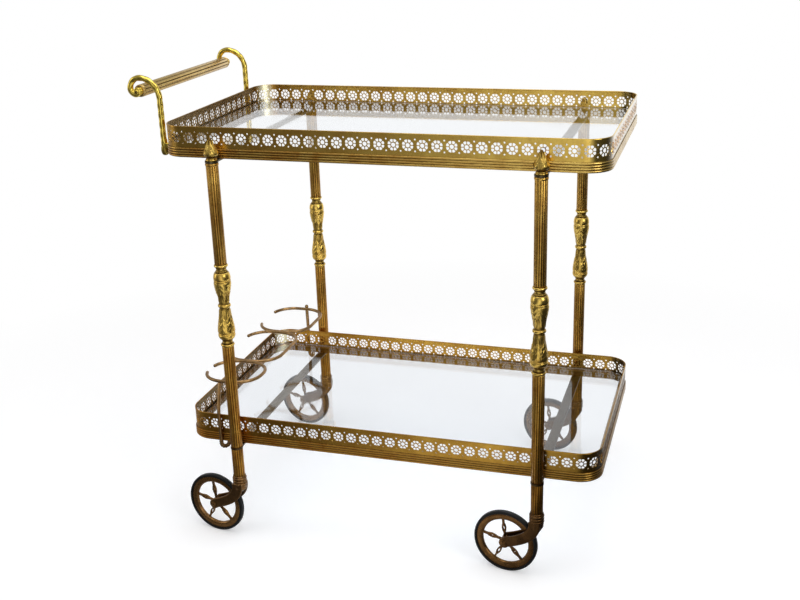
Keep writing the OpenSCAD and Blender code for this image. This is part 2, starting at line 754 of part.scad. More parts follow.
moulding(upper_tray_z);  // upper_moulding
moulding(lower_tray_z);  // lower_moulding
gallery(upper_tray_z + moulding_h);  // upper_gallery
gallery(lower_tray_z + moulding_h);  // lower_gallery
glass(upper_tray_z + moulding_h);  // upper_glass
glass(lower_tray_z + moulding_h);  // lower_glass
strap(-1, upper_strap_z);  // upper_strap_left
strap(1, upper_strap_z);  // upper_strap_right
strap(-1, lower_strap_z);  // lower_strap_left
strap(1, lower_strap_z);  // lower_strap_right
tie_rods();
caster_stems();
handle_bar();
handle_arm(-1);  // handle_arm_front
handle_arm(1);  // handle_arm_back
handle_socket(-1);  // handle_socket_front
handle_socket(1);  // handle_socket_back
handle_screws();
rack_post_front();
rack_post_back();
rack_ring(0);  // rack_ring_front
rack_ring(1);  // rack_ring_middle
rack_ring(2);  // rack_ring_back
for (leg = LEGS) {
  at_leg(leg, upper_tray_z) finial();
  at_leg(leg, upper_tube_z) leg_tube(upper_tube_l);
  at_leg(leg, baluster_z) baluster();
  at_leg(leg, lower_tray_z) leg_tube(middle_tube_l);
  at_leg(leg, tube_foot_z) leg_tube(lower_strap_z - tube_foot_z);
  at_caster(leg, 0) fork();
  at_caster(leg, 0) axle();
  at_caster(leg, 0) wheel();
  at_caster(leg, 0) tyre();
}
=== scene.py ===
import math

import bmesh
import bpy
from mathutils import Matrix, Vector


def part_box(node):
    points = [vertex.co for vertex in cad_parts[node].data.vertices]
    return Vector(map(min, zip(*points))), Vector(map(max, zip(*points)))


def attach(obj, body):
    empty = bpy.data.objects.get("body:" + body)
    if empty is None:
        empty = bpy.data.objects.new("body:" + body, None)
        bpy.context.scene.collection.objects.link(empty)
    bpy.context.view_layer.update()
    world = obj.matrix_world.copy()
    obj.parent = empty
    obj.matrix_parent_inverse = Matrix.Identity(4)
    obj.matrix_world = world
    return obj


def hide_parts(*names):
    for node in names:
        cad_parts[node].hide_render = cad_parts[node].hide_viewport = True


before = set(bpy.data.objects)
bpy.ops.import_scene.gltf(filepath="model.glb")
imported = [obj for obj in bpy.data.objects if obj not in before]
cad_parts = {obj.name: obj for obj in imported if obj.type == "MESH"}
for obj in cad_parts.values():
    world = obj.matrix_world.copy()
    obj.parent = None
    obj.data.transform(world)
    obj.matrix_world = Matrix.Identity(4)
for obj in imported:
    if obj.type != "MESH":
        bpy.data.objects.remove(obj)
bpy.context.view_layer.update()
mm = 0.001  # pieces are drawn in millimetres and turned into metres when they are finished
alongX = Vector((1, 0, 0))
alongY = Vector((0, 1, 0))
upward = Vector((0, 0, 1))
onAxis = 0.01  # the radius that stands for a turned piece's axis
legNames = ("fl", "fr", "bl", "br")


# where things are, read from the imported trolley

def nodeBox(node):
    low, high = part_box(node)
    return low / mm, high / mm


def nodeMiddle(node):
    low, high = nodeBox(node)
    return (low + high) / 2


galleryLow, galleryHigh = nodeBox("upper_gallery")
tray = {
    "middleX": (galleryLow.x + galleryHigh.x) / 2,
    "length": galleryHigh.x - galleryLow.x,
    "width": galleryHigh.y - galleryLow.y,
    "cornerRadius": 36,
    "cornerSteps": 12,
}


# small tools for building meshes

def newMesh():
    bm = bmesh.new()
    bm.verts.layers.float.new("groove")  # 1 where grime gathers, read by the metal finishes
    return bm


def chain(bm, points, closed=False, grooves=None):
    # a line of edges through the points
    layer = bm.verts.layers.float["groove"]
    verts = [bm.verts.new(point) for point in points]
    if grooves:
        for vert, depth in zip(verts, grooves):
            vert[layer] = depth
    pairs = list(zip(verts, verts[1:]))
    if closed:
        pairs.append((verts[-1], verts[0]))
    return verts, [bm.edges.new(pair) for pair in pairs]


def addPart(bm, part, place=None):
    # copies a finished part into a bigger mesh, moved by the matrix
    if place is not None:
        bmesh.ops.transform(part, matrix=place, verts=part.verts)
    carrier = bpy.data.meshes.new("carrier")
    part.to_mesh(carrier)
    part.free()
    bm.from_mesh(carrier)
    bpy.data.meshes.remove(carrier)


joinDistance = 0.004  # points of a piece that are nearer than this are welded


def makePiece(bm, name, body, slotName, replaced, sharpAngle=38):
    # finishes a mesh: welded, in metres, smooth but for sharp edges, with the material named by its slot
    # name, and its body
    bmesh.ops.remove_doubles(bm, verts=bm.verts, dist=joinDistance)
    bmesh.ops.recalc_face_normals(bm, faces=bm.faces)
    bmesh.ops.scale(bm, vec=(mm, mm, mm), verts=bm.verts)
    mesh = bpy.data.meshes.new(name)
    bm.to_mesh(mesh)
    bm.free()
    mesh.shade_smooth()
    mesh.set_sharp_from_angle(angle=math.radians(sharpAngle))
    mesh.materials.append(finishes[slotName])
    piece = bpy.data.objects.new(name, mesh)
    bpy.context.scene.collection.objects.link(piece)
    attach(piece, body)
    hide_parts(*replaced)


def everything(bm):
    return bm.verts[:] + bm.edges[:] + bm.faces[:]


def addBlock(bm, middle, size):
    bmesh.ops.create_cube(bm, size=1.0, matrix=Matrix.Translation(middle) @ Matrix.Diagonal((*size, 1)))


def sharpEdges(bm):
    return [edge for edge in bm.edges if edge.calc_face_angle(0.0) > math.radians(60)]


def bevelEdges(bm, edges, offset, segments):
    bmesh.ops.bevel(bm, geom=edges, offset=offset, offset_type="OFFSET", segments=segments, profile=0.5,
                    affect="EDGES", material=-1)


def frameAt(point, side, up):
    basis = Matrix((side, up, side.cross(up))).transposed().to_4x4()
    return Matrix.Translation(point) @ basis


def sweep(bm, edges, stations, closed=False):
    # carries a loop of edges, drawn in the XY plane, through the stations
    verts = list({vert for edge in edges for vert in edge.verts})
    bmesh.ops.transform(bm, matrix=stations[0], verts=verts)
    firstEdges = edges
    for before, after in zip(stations, stations[1:]):
        grown = bmesh.ops.extrude_edge_only(bm, edges=edges)["geom"]
        verts = {item for item in grown if isinstance(item, bmesh.types.BMVert)}
        edges = [item for item in grown if isinstance(item, bmesh.types.BMEdge) and set(item.verts) <= verts]
        bmesh.ops.transform(bm, matrix=after @ before.inverted(), verts=list(verts))
    if not closed:
        for rim in (firstEdges, edges):
            bmesh.ops.edgeloop_fill(bm, edges=rim)


def stationsAlong(points, side, twistPerMm=0.0):
    # one frame per point, carried along without turning, then twisted by the length run
    stations = []
    run = 0.0
    for i, point in enumerate(points):
        ahead = (points[min(i + 1, len(points) - 1)] - points[max(i - 1, 0)]).normalized()
        side = (side - ahead * side.dot(ahead)).normalized()
        if i > 0:
            run += (point - points[i - 1]).length
        turned = Matrix.Rotation(twistPerMm * run, 4, "Z")
        stations.append(frameAt(point, side, ahead.cross(side)) @ turned)
    return stations


def resampled(points, step):
    # the same line with its points evenly apart
    lengths = [0.0]
    for a, b in zip(points, points[1:]):
        lengths.append(lengths[-1] + (b - a).length)
    count = max(1, round(lengths[-1] / step))
    out = []
    span = 0
    for i in range(count + 1):
        target = lengths[-1] * i / count
        while span < len(points) - 2 and lengths[span + 1] < target:
            span += 1
        share = (target - lengths[span]) / (lengths[span + 1] - lengths[span])
        out.append(points[span].lerp(points[span + 1], share))
    return out


def arcPoints(centre, radius, start, end, axisA, axisB, steps):
    out = []
    for i in range(steps + 1):
        angle = math.radians(start + (end - start) * i / steps)
        out.append(centre + axisA * radius * math.cos(angle) + axisB * radius * math.sin(angle))
    return out


def roundedPath(points, radius, steps=7):
    # the points with each inner corner turned into an arc
    path = [points[0]]
    for before, corner, after in zip(points, points[1:], points[2:]):
        toBefore = (before - corner).normalized()
        toAfter = (after - corner).normalized()
        half = toBefore.angle(toAfter) / 2
        centre = corner + (toBefore + toAfter).normalized() * radius / math.sin(half)
        start = corner + toBefore * radius / math.tan(half) - centre
        end = corner + toAfter * radius / math.tan(half) - centre
        path += [centre + start.slerp(end, i / steps).normalized() * radius for i in range(steps + 1)]
    return path + [points[-1]]


wireEnd = {"steps": (15, 40, 65), "reach": 0.6}  # the dome at a wire's end: angles, and length over radius


def roundWire(bm, points, diameter, side, sides=12):
    # a wire with softly domed ends along the points
    radius = diameter / 2
    stations = stationsAlong(points, side)

    def domed(station, angle, outward):
        lift = Matrix.Translation((0, 0, outward * radius * wireEnd["reach"] * math.cos(angle)))
        return station @ lift @ Matrix.Diagonal((math.sin(angle), math.sin(angle), 1, 1))

    angles = [math.radians(angle) for angle in wireEnd["steps"]]
    head = [domed(stations[0], angle, -1) for angle in angles]
    tail = [domed(stations[-1], angle, 1) for angle in reversed(angles)]
    circle = bmesh.ops.create_circle(bm, cap_ends=False, radius=radius, segments=sides)["verts"]
    sweep(bm, list({edge for vert in circle for edge in vert.link_edges}), head + stations + tail)


def strandedLoop(bm, radius, look):
    # the outline of a rod twisted from strands, with grime between them
    points, grooves = [], []
    for i in range(look["sides"]):
        angle = math.tau * i / look["sides"]
        dip = (0.5 - 0.5 * math.cos(look["strands"] * angle)) ** look["sharpness"]
        here = radius * (1 - look["strandDepth"] * dip)
        points.append((here * math.cos(angle), here * math.sin(angle), 0))
        grooves.append(dip * look["strandGrime"])
    return chain(bm, points, closed=True, grooves=grooves)[1]


def eased(start, end, steps, hold=1.0):
    # points of an S-curve from start to end, both as (radius, height); start itself is left out
    out = []
    for i in range(1, steps + 1):
        share = 0.5 - 0.5 * math.cos(math.pi * (i / steps) ** hold)
        out.append((start[0] + (end[0] - start[0]) * share, start[1] + (end[1] - start[1]) * i / steps))
    return out


def bead(radius, low, high, rise, steps=6):
    # a half round that stands out of a turned outline
    out = []
    for i in range(steps + 1):
        angle = math.pi * i / steps
        out.append((radius + rise * math.sin(angle), (low + high) / 2 - (high - low) / 2 * math.cos(angle)))
    return out


def mirrored(outline):
    # the other half of an outline that is the same on both sides
    return [(along, -across) for along, across in reversed(outline)]


hollow = {"reach": 2.5, "depth": 1.8, "start": 0.15}  # how far and how deep a hollow is when grime fills it


def lathe(points, steps=40, closed=False, grimy=True):
    # turns an outline of (radius, height) about Z; its hollows are marked as grooves
    grooves = []
    for radius, height in points:
        nearby = max(r for r, z in points if abs(z - height) < hollow["reach"])
        depth = (nearby - radius) / hollow["depth"] - hollow["start"]
        grooves.append(min(1.0, max(0.0, depth)) if grimy else 0.0)
    bm = newMesh()
    verts, edges = chain(bm, [(r, 0, z) for r, z in points], closed, grooves)
    bmesh.ops.spin(bm, geom=verts + edges, cent=(0, 0, 0), axis=(0, 0, 1), dvec=(0, 0, 0),
                   angle=math.tau, steps=steps, use_merge=True, use_duplicate=False)
    bmesh.ops.remove_doubles(bm, verts=bm.verts, dist=0.001)
    return bm


def plate(bm, loops, thickness):
    # a flat plate with holes: the first loop is its outline
    edges = []
    for loop in loops:
        edges += chain(bm, [(x, y, 0) for x, y in loop], closed=True)[1]
    bmesh.ops.triangle_fill(bm, use_beauty=True, use_dissolve=False, edges=edges)
    if thickness:
        grown = bmesh.ops.extrude_face_region(bm, geom=bm.faces[:])["geom"]
        lifted = [item for item in grown if isinstance(item, bmesh.types.BMVert)]
        bmesh.ops.translate(bm, vec=(0, 0, thickness), verts=lifted)


def smoothStep(low, high, value):
    # 0 up to low, 1 from high on, and a soft step between them
    share = min(1.0, max(0.0, (value - low) / (high - low)))
    return share * share * (3 - 2 * share)


# finishes

white = (1.0, 1.0, 1.0, 1.0)


def paint(red, green, blue):
    # a colour written as on screen, 0 to 255, turned into the shader's linear values
    out = []
    for value in (red, green, blue):
        share = value / 255
        out.append(share / 12.92 if share <= 0.04045 else ((share + 0.055) / 1.055) ** 2.4)
    return (*out, 1.0)


def addNode(tree, kind, settings=None, inputs=None):
    node = tree.nodes.new(kind)
    for key, value in (settings or {}).items():
        setattr(node, key, value)
    for key, value in (inputs or {}).items():
        if isinstance(value, bpy.types.NodeSocket):
            tree.links.new(value, node.inputs[key])
        else:
            node.inputs[key].default_value = value
    return node


def mathNode(tree, operation, first, second, clamp=False):
    inputs = {0: first, 1: second}
    return addNode(tree, "ShaderNodeMath", {"operation": operation, "use_clamp": clamp}, inputs).outputs[0]


def mixColour(tree, factor, first, second, blend="MIX"):
    node = addNode(tree, "ShaderNodeMix", {"data_type": "RGBA", "blend_type": blend})
    for index, value in ((0, factor), (6, first), (7, second)):
        if isinstance(value, bpy.types.NodeSocket):
            tree.links.new(value, node.inputs[index])
        else:
            node.inputs[index].default_value = value
    return node.outputs[2]


def mixValue(tree, factor, first, second):
    inputs = {0: factor, 2: first, 3: second}
    return addNode(tree, "ShaderNodeMix", {"data_type": "FLOAT"}, inputs).outputs[0]


def stretch(tree, value, low, high, toLow=0.0, toHigh=1.0):
    # the value, clamped between low and high, laid onto another range
    inputs = {"Value": value, "From Min": low, "From Max": high, "To Min": toLow, "To Max": toHigh}
    return addNode(tree, "ShaderNodeMapRange", {"clamp": True}, inputs).outputs["Result"]


def noise(tree, place, scale, detail=4.0, roughness=0.55, distortion=0.0):
    return addNode(tree, "ShaderNodeTexNoise", inputs={
        "Vector": place, "Scale": scale, "Detail": detail,
        "Roughness": roughness, "Distortion": distortion}).outputs["Fac"]


agingAndPaintedLight = {
    "cloudDetail": 7.0, "cloudShare": 0.75, "fineScale": 260.0, "fineShare": 0.25,
    "tarnishFrom": 0.32, "tarnishTo": 0.72,
    "leftX": -0.36, "rightX": 0.40,  # metres of X over which the painted shade of the left side, laid on as extra tarnish, fades
    "spotScale": 520.0, "spotFrom": 0.60, "spotTo": 0.72,
    "olive": (0.93, 0.98, 0.88, 1.0), "oliveMost": 0.35,
    "oliveScale": 34.0, "oliveFrom": 0.35, "oliveTo": 0.65,
    # tints of the lower pieces at the left and at the right, the dark right one being painted shade, and
    # where they fade along X and upwards
    "lowLeft": (1.0, 0.86, 0.68, 1.0), "lowRightShade": (0.54, 0.44, 0.33, 1.0),
    "lowLeftX": -0.1, "lowRightX": 0.28, "lowZ": 0.2, "highZ": 0.55,
    # painted reflections, a painted highlight and painted shade at the trays' ends. Each one: the direction
    # that the metal faces, how squarely before it starts and is full, the stretch of X where it grows, its
    # painted colour
    "paintedEndLight": (
        ((1, 0, 0), 0.75, 0.95, 0.34, 0.372, paint(214, 208, 198)),  # painted reflection: pale right end
        ((1, 0, 0), 0.70, 0.90, -0.26, -0.29, paint(92, 76, 42)),  # painted shade: dark inside of the left end
        ((0.7, -0.7, 0), 0.86, 0.97, -0.26, -0.29, paint(255, 250, 214)),  # painted highlight: bright back left corner
        ((-0.7, -0.7, 0), 0.80, 0.92, 0.30, 0.34, paint(46, 36, 22)),  # painted shade: dark back right corner
    ),
    "hairlineScale": (60.0, 60.0, 2400.0), "hairlineFrom": 0.3, "hairlineTo": 0.7,
    "hairlineSmooth": -0.03, "hairlineRough": 0.05, "grimeRoughness": 0.22,
    "fineRelief": 0.6, "hairlineRelief": 0.25, "spotRelief": 0.35,
}


def weighted(tree, *pairs):
    # the sum of values, each times its weight
    total = None
    for value, weight in pairs:
        part = mathNode(tree, "MULTIPLY", value, weight)
        total = part if total is None else mathNode(tree, "ADD", total, part)
    return total


def tintAndShadePieces(tree, colour, place, across, height):
    # a faint olive drift everywhere; lower pieces are more brown at the left, and painted darker at the right
    # as shade
    drift = stretch(tree, noise(tree, place, agingAndPaintedLight["oliveScale"], 3.0), agingAndPaintedLight["oliveFrom"], agingAndPaintedLight["oliveTo"],
                    0.0, agingAndPaintedLight["oliveMost"])
    colour = mixColour(tree, 1.0, colour, mixColour(tree, drift, white, agingAndPaintedLight["olive"]), "MULTIPLY")
    toRight = stretch(tree, across, agingAndPaintedLight["lowLeftX"], agingAndPaintedLight["lowRightX"])
    low = mixColour(tree, toRight, agingAndPaintedLight["lowLeft"], agingAndPaintedLight["lowRightShade"])
    lowTintAndShade = mixColour(tree, stretch(tree, height, agingAndPaintedLight["lowZ"], agingAndPaintedLight["highZ"]), low, white)
    return mixColour(tree, 1.0, colour, lowTintAndShade, "MULTIPLY")


def paintEndLight(tree, colour, across, strength):
    # paints reflections, a highlight and shade onto the trays' ends as colour, by the way the metal faces
    facing = addNode(tree, "ShaderNodeNewGeometry").outputs["Normal"]
    for toward, start, full, startX, fullX, shade in agingAndPaintedLight["paintedEndLight"]:
        along = addNode(tree, "ShaderNodeVectorMath", {"operation": "DOT_PRODUCT"}, {0: facing, 1: toward})
        mark = mathNode(tree, "MULTIPLY", stretch(tree, along.outputs["Value"], start, full),
                        stretch(tree, across, startX, fullX))
        colour = mixColour(tree, mathNode(tree, "MULTIPLY", mark, strength), colour, shade)
    return colour


def buildAgedMetalAndPaintedLight():
    # tarnish in clouds, grime in the grooves, small spots and hairline scratches, and painted light: shade at
    # the left side and on the lower pieces at the right, and reflections, a highlight and shade at the trays'
    # ends
    tree = bpy.data.node_groups.new("agedMetalAndPaintedLight", "ShaderNodeTree")
    for name in ("bright", "tarnish", "grime"):
        tree.interface.new_socket(name, in_out="INPUT", socket_type="NodeSocketColor")
    for name in ("cloudScale", "amount", "leftShade", "grimeAmount", "spots", "paintedEndLight", "polished", "dull"):
        tree.interface.new_socket(name, in_out="INPUT", socket_type="NodeSocketFloat")
    for name, kind in (("Color", "Color"), ("Roughness", "Float"), ("Height", "Float")):
        tree.interface.new_socket(name, in_out="OUTPUT", socket_type="NodeSocket" + kind)
    given = tree.nodes.new("NodeGroupInput").outputs
    place = addNode(tree, "ShaderNodeTexCoord").outputs["Object"]
    groove = addNode(tree, "ShaderNodeAttribute", {"attribute_name": "groove"}).outputs["Fac"]
    across, _, height = addNode(tree, "ShaderNodeSeparateXYZ", inputs={"Vector": place}).outputs

    clouds = noise(tree, place, given["cloudScale"], agingAndPaintedLight["cloudDetail"], 0.62, 0.6)
    fine = noise(tree, place, agingAndPaintedLight["fineScale"], 5.0, 0.6)
    # painted shade: the left side is darkened, laid on as extra tarnish
    leftShade = stretch(tree, across, agingAndPaintedLight["leftX"], agingAndPaintedLight["rightX"], 1.0, 0.0)
    amount = mathNode(tree, "MULTIPLY", leftShade, given["leftShade"])
    amount = mathNode(tree, "ADD", amount, given["amount"])
    level = weighted(tree, (clouds, agingAndPaintedLight["cloudShare"]), (fine, agingAndPaintedLight["fineShare"]))
    level = mathNode(tree, "ADD", level, mathNode(tree, "SUBTRACT", amount, 0.5))
    tarnished = stretch(tree, level, agingAndPaintedLight["tarnishFrom"], agingAndPaintedLight["tarnishTo"])

    spots = noise(tree, place, agingAndPaintedLight["spotScale"], 3.0, 0.5)
    spots = stretch(tree, spots, agingAndPaintedLight["spotFrom"], agingAndPaintedLight["spotTo"])
    spots = mathNode(tree, "MULTIPLY", spots, given["spots"])
    grime = mathNode(tree, "MULTIPLY", groove, given["grimeAmount"])
    grime = mathNode(tree, "ADD", grime, spots, clamp=True)

    colour = mixColour(tree, tarnished, given["bright"], given["tarnish"])
    # olive drift, more brown lower pieces, and painted shade on the lower pieces at the right
    colour = tintAndShadePieces(tree, colour, place, across, height)
    colour = mixColour(tree, grime, colour, given["grime"])
    # painted reflections, highlight and shade at the trays' ends
    colour = paintEndLight(tree, colour, across, given["paintedEndLight"])

    scratched = addNode(tree, "ShaderNodeMapping", inputs={"Vector": place, "Scale": agingAndPaintedLight["hairlineScale"]})
    hairlines = noise(tree, scratched.outputs["Vector"], 1.0, 2.0)
    scratches = stretch(tree, hairlines, agingAndPaintedLight["hairlineFrom"], agingAndPaintedLight["hairlineTo"],
                        agingAndPaintedLight["hairlineSmooth"], agingAndPaintedLight["hairlineRough"])
    roughness = mixValue(tree, tarnished, given["polished"], given["dull"])
    roughness = mathNode(tree, "ADD", roughness, mathNode(tree, "MULTIPLY", grime, agingAndPaintedLight["grimeRoughness"]))
    roughness = mathNode(tree, "ADD", roughness, scratches, clamp=True)
    relief = weighted(tree, (fine, agingAndPaintedLight["fineRelief"]), (hairlines, agingAndPaintedLight["hairlineRelief"]),
                      (spots, -agingAndPaintedLight["spotRelief"]))

    result = tree.nodes.new("NodeGroupOutput").inputs
    for name, value in (("Color", colour), ("Roughness", roughness), ("Height", relief)):
        tree.links.new(value, result[name])
    return tree


agedMetalAndPaintedLight = buildAgedMetalAndPaintedLight()

# the metals: their clean, tarnished and grimy colours, how much of each shows, and how rough they are;
# the extra tarnish at the left is painted shade of that side, and the marks at the trays' ends, given by
# their strength, are painted reflections, highlight and shade
metals = {
    "gallery_brass": {
        "bright": paint(240, 204, 104), "tarnish": paint(182, 138, 62), "grime": paint(70, 46, 20),
        "cloudScale": 26.0, "amount": 0.38, "leftShade": 0.36, "grimeAmount": 0.7, "spots": 0.4,
        "paintedEndLight": 0.85, "polished": 0.16, "dull": 0.32, "bump": 0.16},
    "moulding_brass": {
        "bright": paint(242, 206, 114), "tarnish": paint(190, 138, 62), "grime": paint(52, 32, 13),
        "cloudScale": 30.0, "amount": 0.40, "leftShade": 0.32, "grimeAmount": 1.0, "spots": 0.4,
        "paintedEndLight": 0.7, "polished": 0.2, "dull": 0.36, "bump": 0.18},
    "tube_brass": {
        "bright": paint(234, 190, 94), "tarnish": paint(172, 118, 50), "grime": paint(44, 27, 11),
        "cloudScale": 38.0, "amount": 0.46, "leftShade": 0.12, "grimeAmount": 1.0, "spots": 0.5,
        "polished": 0.2, "dull": 0.36, "bump": 0.22},
    "cast_brass": {
        "bright": paint(250, 214, 112), "tarnish": paint(196, 144, 62), "grime": paint(92, 64, 24),
        "cloudScale": 60.0, "amount": 0.32, "leftShade": 0.06, "grimeAmount": 1.0, "spots": 0.3,
        "polished": 0.2, "dull": 0.34, "bump": 0.2},
    "handle_brass": {
        "bright": paint(246, 216, 100), "tarnish": paint(204, 160, 64), "grime": paint(66, 44, 20),
        "cloudScale": 44.0, "amount": 0.24, "grimeAmount": 0.9, "spots": 0.1,
        "polished": 0.16, "dull": 0.28, "bump": 0.08},
    "bar_brass": {
        "bright": paint(226, 196, 124), "tarnish": paint(176, 134, 92), "grime": paint(52, 34, 20),
        "cloudScale": 18.0, "amount": 0.42, "grimeAmount": 1.0, "spots": 0.0,
        "polished": 0.2, "dull": 0.3, "bump": 0.02},
    "strap_brass": {
        "bright": paint(104, 92, 70), "tarnish": paint(74, 65, 51), "grime": paint(48, 40, 30),
        "cloudScale": 32.0, "amount": 0.40, "grimeAmount": 0.8, "spots": 0.4,
        "polished": 0.3, "dull": 0.44, "bump": 0.15},
    "rack_wire": {
        "bright": paint(190, 158, 114), "tarnish": paint(120, 100, 76), "grime": paint(54, 44, 32),
        "cloudScale": 70.0, "amount": 0.5, "grimeAmount": 0.8, "spots": 0.5,
        "polished": 0.24, "dull": 0.4, "bump": 0.2},
    "caster_brass": {
        "bright": paint(164, 130, 90), "tarnish": paint(108, 84, 58), "grime": paint(44, 32, 22),
        "cloudScale": 55.0, "amount": 0.48, "grimeAmount": 1.0, "spots": 0.5,
        "polished": 0.18, "dull": 0.34, "bump": 0.25},
    "steel": {
        "bright": paint(176, 176, 178), "tarnish": paint(120, 118, 116), "grime": paint(60, 56, 52),
        "cloudScale": 50.0, "amount": 0.4, "grimeAmount": 0.8, "spots": 0.4,
        "polished": 0.26, "dull": 0.42, "bump": 0.2},
}


def newMaterial(name):
    material = bpy.data.materials.new(name)
    material.use_nodes = True
    tree = material.node_tree
    tree.nodes.clear()
    return material, tree, tree.nodes.new("ShaderNodeOutputMaterial")


metalBumpDistance = 0.0004


def metalFinish(name, look):
    material, tree, output = newMaterial(name)
    given = {key: value for key, value in look.items() if key != "bump"}
    # tarnish, grime and spots, with painted shade and painted reflections in the colour
    agedAndPainted = addNode(tree, "ShaderNodeGroup", {"node_tree": agedMetalAndPaintedLight}, given)
    bump = addNode(tree, "ShaderNodeBump", inputs={
        "Strength": look["bump"], "Distance": metalBumpDistance, "Height": agedAndPainted.outputs["Height"]})
    shader = addNode(tree, "ShaderNodeBsdfPrincipled", inputs={
        "Base Color": agedAndPainted.outputs["Color"], "Metallic": 1.0,
        "Roughness": agedAndPainted.outputs["Roughness"], "Normal": bump.outputs["Normal"]})
    tree.links.new(shader.outputs[0], output.inputs["Surface"])
    return material


glassLook = {
    "tint": paint(243, 246, 249), "ior": 1.5, "clean": 0.01, "marked": 0.07,
    "markScale": 14.0, "markFrom": 0.5, "markTo": 0.75,
}


def glassFinish():
    # clear float glass with faint dust and finger marks; lamps shine through it
    look = glassLook
    material, tree, output = newMaterial("glass")
    place = addNode(tree, "ShaderNodeTexCoord").outputs["Object"]
    marks = noise(tree, place, look["markScale"], 6.0, 0.7, 0.8)
    marks = stretch(tree, marks, look["markFrom"], look["markTo"], look["clean"], look["marked"])
    shader = addNode(tree, "ShaderNodeBsdfPrincipled", inputs={
        "Base Color": look["tint"], "Roughness": marks, "IOR": look["ior"], "Transmission Weight": 1.0})
    clear = addNode(tree, "ShaderNodeBsdfTransparent", inputs={"Color": look["tint"]})
    lampRay = addNode(tree, "ShaderNodeLightPath").outputs["Is Shadow Ray"]
    mixed = addNode(tree, "ShaderNodeMixShader", inputs={
        0: lampRay, 1: shader.outputs[0], 2: clear.outputs[0]})
    tree.links.new(mixed.outputs[0], output.inputs["Surface"])
    return material


rubberLook = {
    "rubber": paint(9, 9, 9), "dust": paint(30, 27, 24), "smooth": 0.42, "worn": 0.62, "specular": 0.3,
    "wearScale": 90.0, "wearFrom": 0.5, "wearTo": 0.78, "wearMost": 0.5, "grooveWear": 0.4,
    "grainScale": 700.0, "grainStrength": 0.25, "grainDistance": 0.0003,
}


def rubberFinish():
    look = rubberLook
    material, tree, output = newMaterial("tyreRubber")
    place = addNode(tree, "ShaderNodeTexCoord").outputs["Object"]
    groove = addNode(tree, "ShaderNodeAttribute", {"attribute_name": "groove"}).outputs["Fac"]
    worn = noise(tree, place, look["wearScale"], 6.0, 0.65)
    worn = stretch(tree, worn, look["wearFrom"], look["wearTo"], 0.0, look["wearMost"])
    worn = mathNode(tree, "ADD", worn, mathNode(tree, "MULTIPLY", groove, look["grooveWear"]), clamp=True)
    grain = noise(tree, place, look["grainScale"], 3.0)
    bump = addNode(tree, "ShaderNodeBump", inputs={
        "Strength": look["grainStrength"], "Distance": look["grainDistance"], "Height": grain})
    shader = addNode(tree, "ShaderNodeBsdfPrincipled", inputs={
        "Base Color": mixColour(tree, worn, look["rubber"], look["dust"]),
        "Roughness": stretch(tree, worn, 0.0, 1.0, look["smooth"], look["worn"]),
        "Specular IOR Level": look["specular"], "Normal": bump.outputs["Normal"]})
    tree.links.new(shader.outputs[0], output.inputs["Surface"])
    return material


finishes = {name: metalFinish(name, look) for name, look in metals.items()}
finishes["glass"] = glassFinish()
finishes["tyre_rubber"] = rubberFinish()
print("finishes made")


# trays

def outlineStations(height):
    stations = []
    radius = tray["cornerRadius"]
    for turn, (sideX, sideY) in enumerate(((1, 1), (-1, 1), (-1, -1), (1, -1))):
        centre = Vector((tray["middleX"] + sideX * (tray["length"] / 2 - radius),
                         sideY * (tray["width"] / 2 - radius), height))
        for i in range(tray["cornerSteps"] + 1):
            angle = math.radians(90 * turn + 90 * i / tray["cornerSteps"])
            outward = Vector((math.cos(angle), math.sin(angle), 0))
            stations.append(frameAt(centre + outward * radius, outward, upward))
    return stations + stations[:1]


gallery = {
    "thickness": 1.2,
    "perQuarter": 24,  # rosettes in a quarter of the outline
    "centreHeight": 15.7,
    "eyeRadius": 3.3,
    "eyeSteps": 12,
    "petalFoot": 4.6, "petalTip": 8.9, "petals": 8, "barWidth": 1.15,
    "tipLength": 1.1, "tipDrop": 0.25, "tipShare": 0.72,  # how a petal's tip is rounded
    "dotRadius": 1.45, "dotRise": 8.75, "dotSteps": 4,
    "cornerCuts": 5,  # extra lines across a rosette where the strip bends
    "rimHeight": 2.2, "rimProud": 0.35, "rimInside": 0.3, "rimSteps": 6,
    "seam": 0.01,  # points this near are one point where rosettes or quarters meet
}


def petalLoop(turn):
    # one petal opening: narrow at the eye, round at the tip
    foot, tip, bar = gallery["petalFoot"], gallery["petalTip"], gallery["barWidth"]
    half = math.pi / gallery["petals"]
    footHalf = half - bar / 2 / foot
    tipHalf = half - bar / 2 / tip
    side = [(tip - gallery["tipLength"], tipHalf), (tip - gallery["tipDrop"], tipHalf * gallery["tipShare"])]
    outline = [(foot, -footHalf), (foot, footHalf)] + side + [(tip, 0)] + mirrored(side)
    return [(r * math.cos(turn + a), gallery["centreHeight"] + r * math.sin(turn + a)) for r, a in outline]


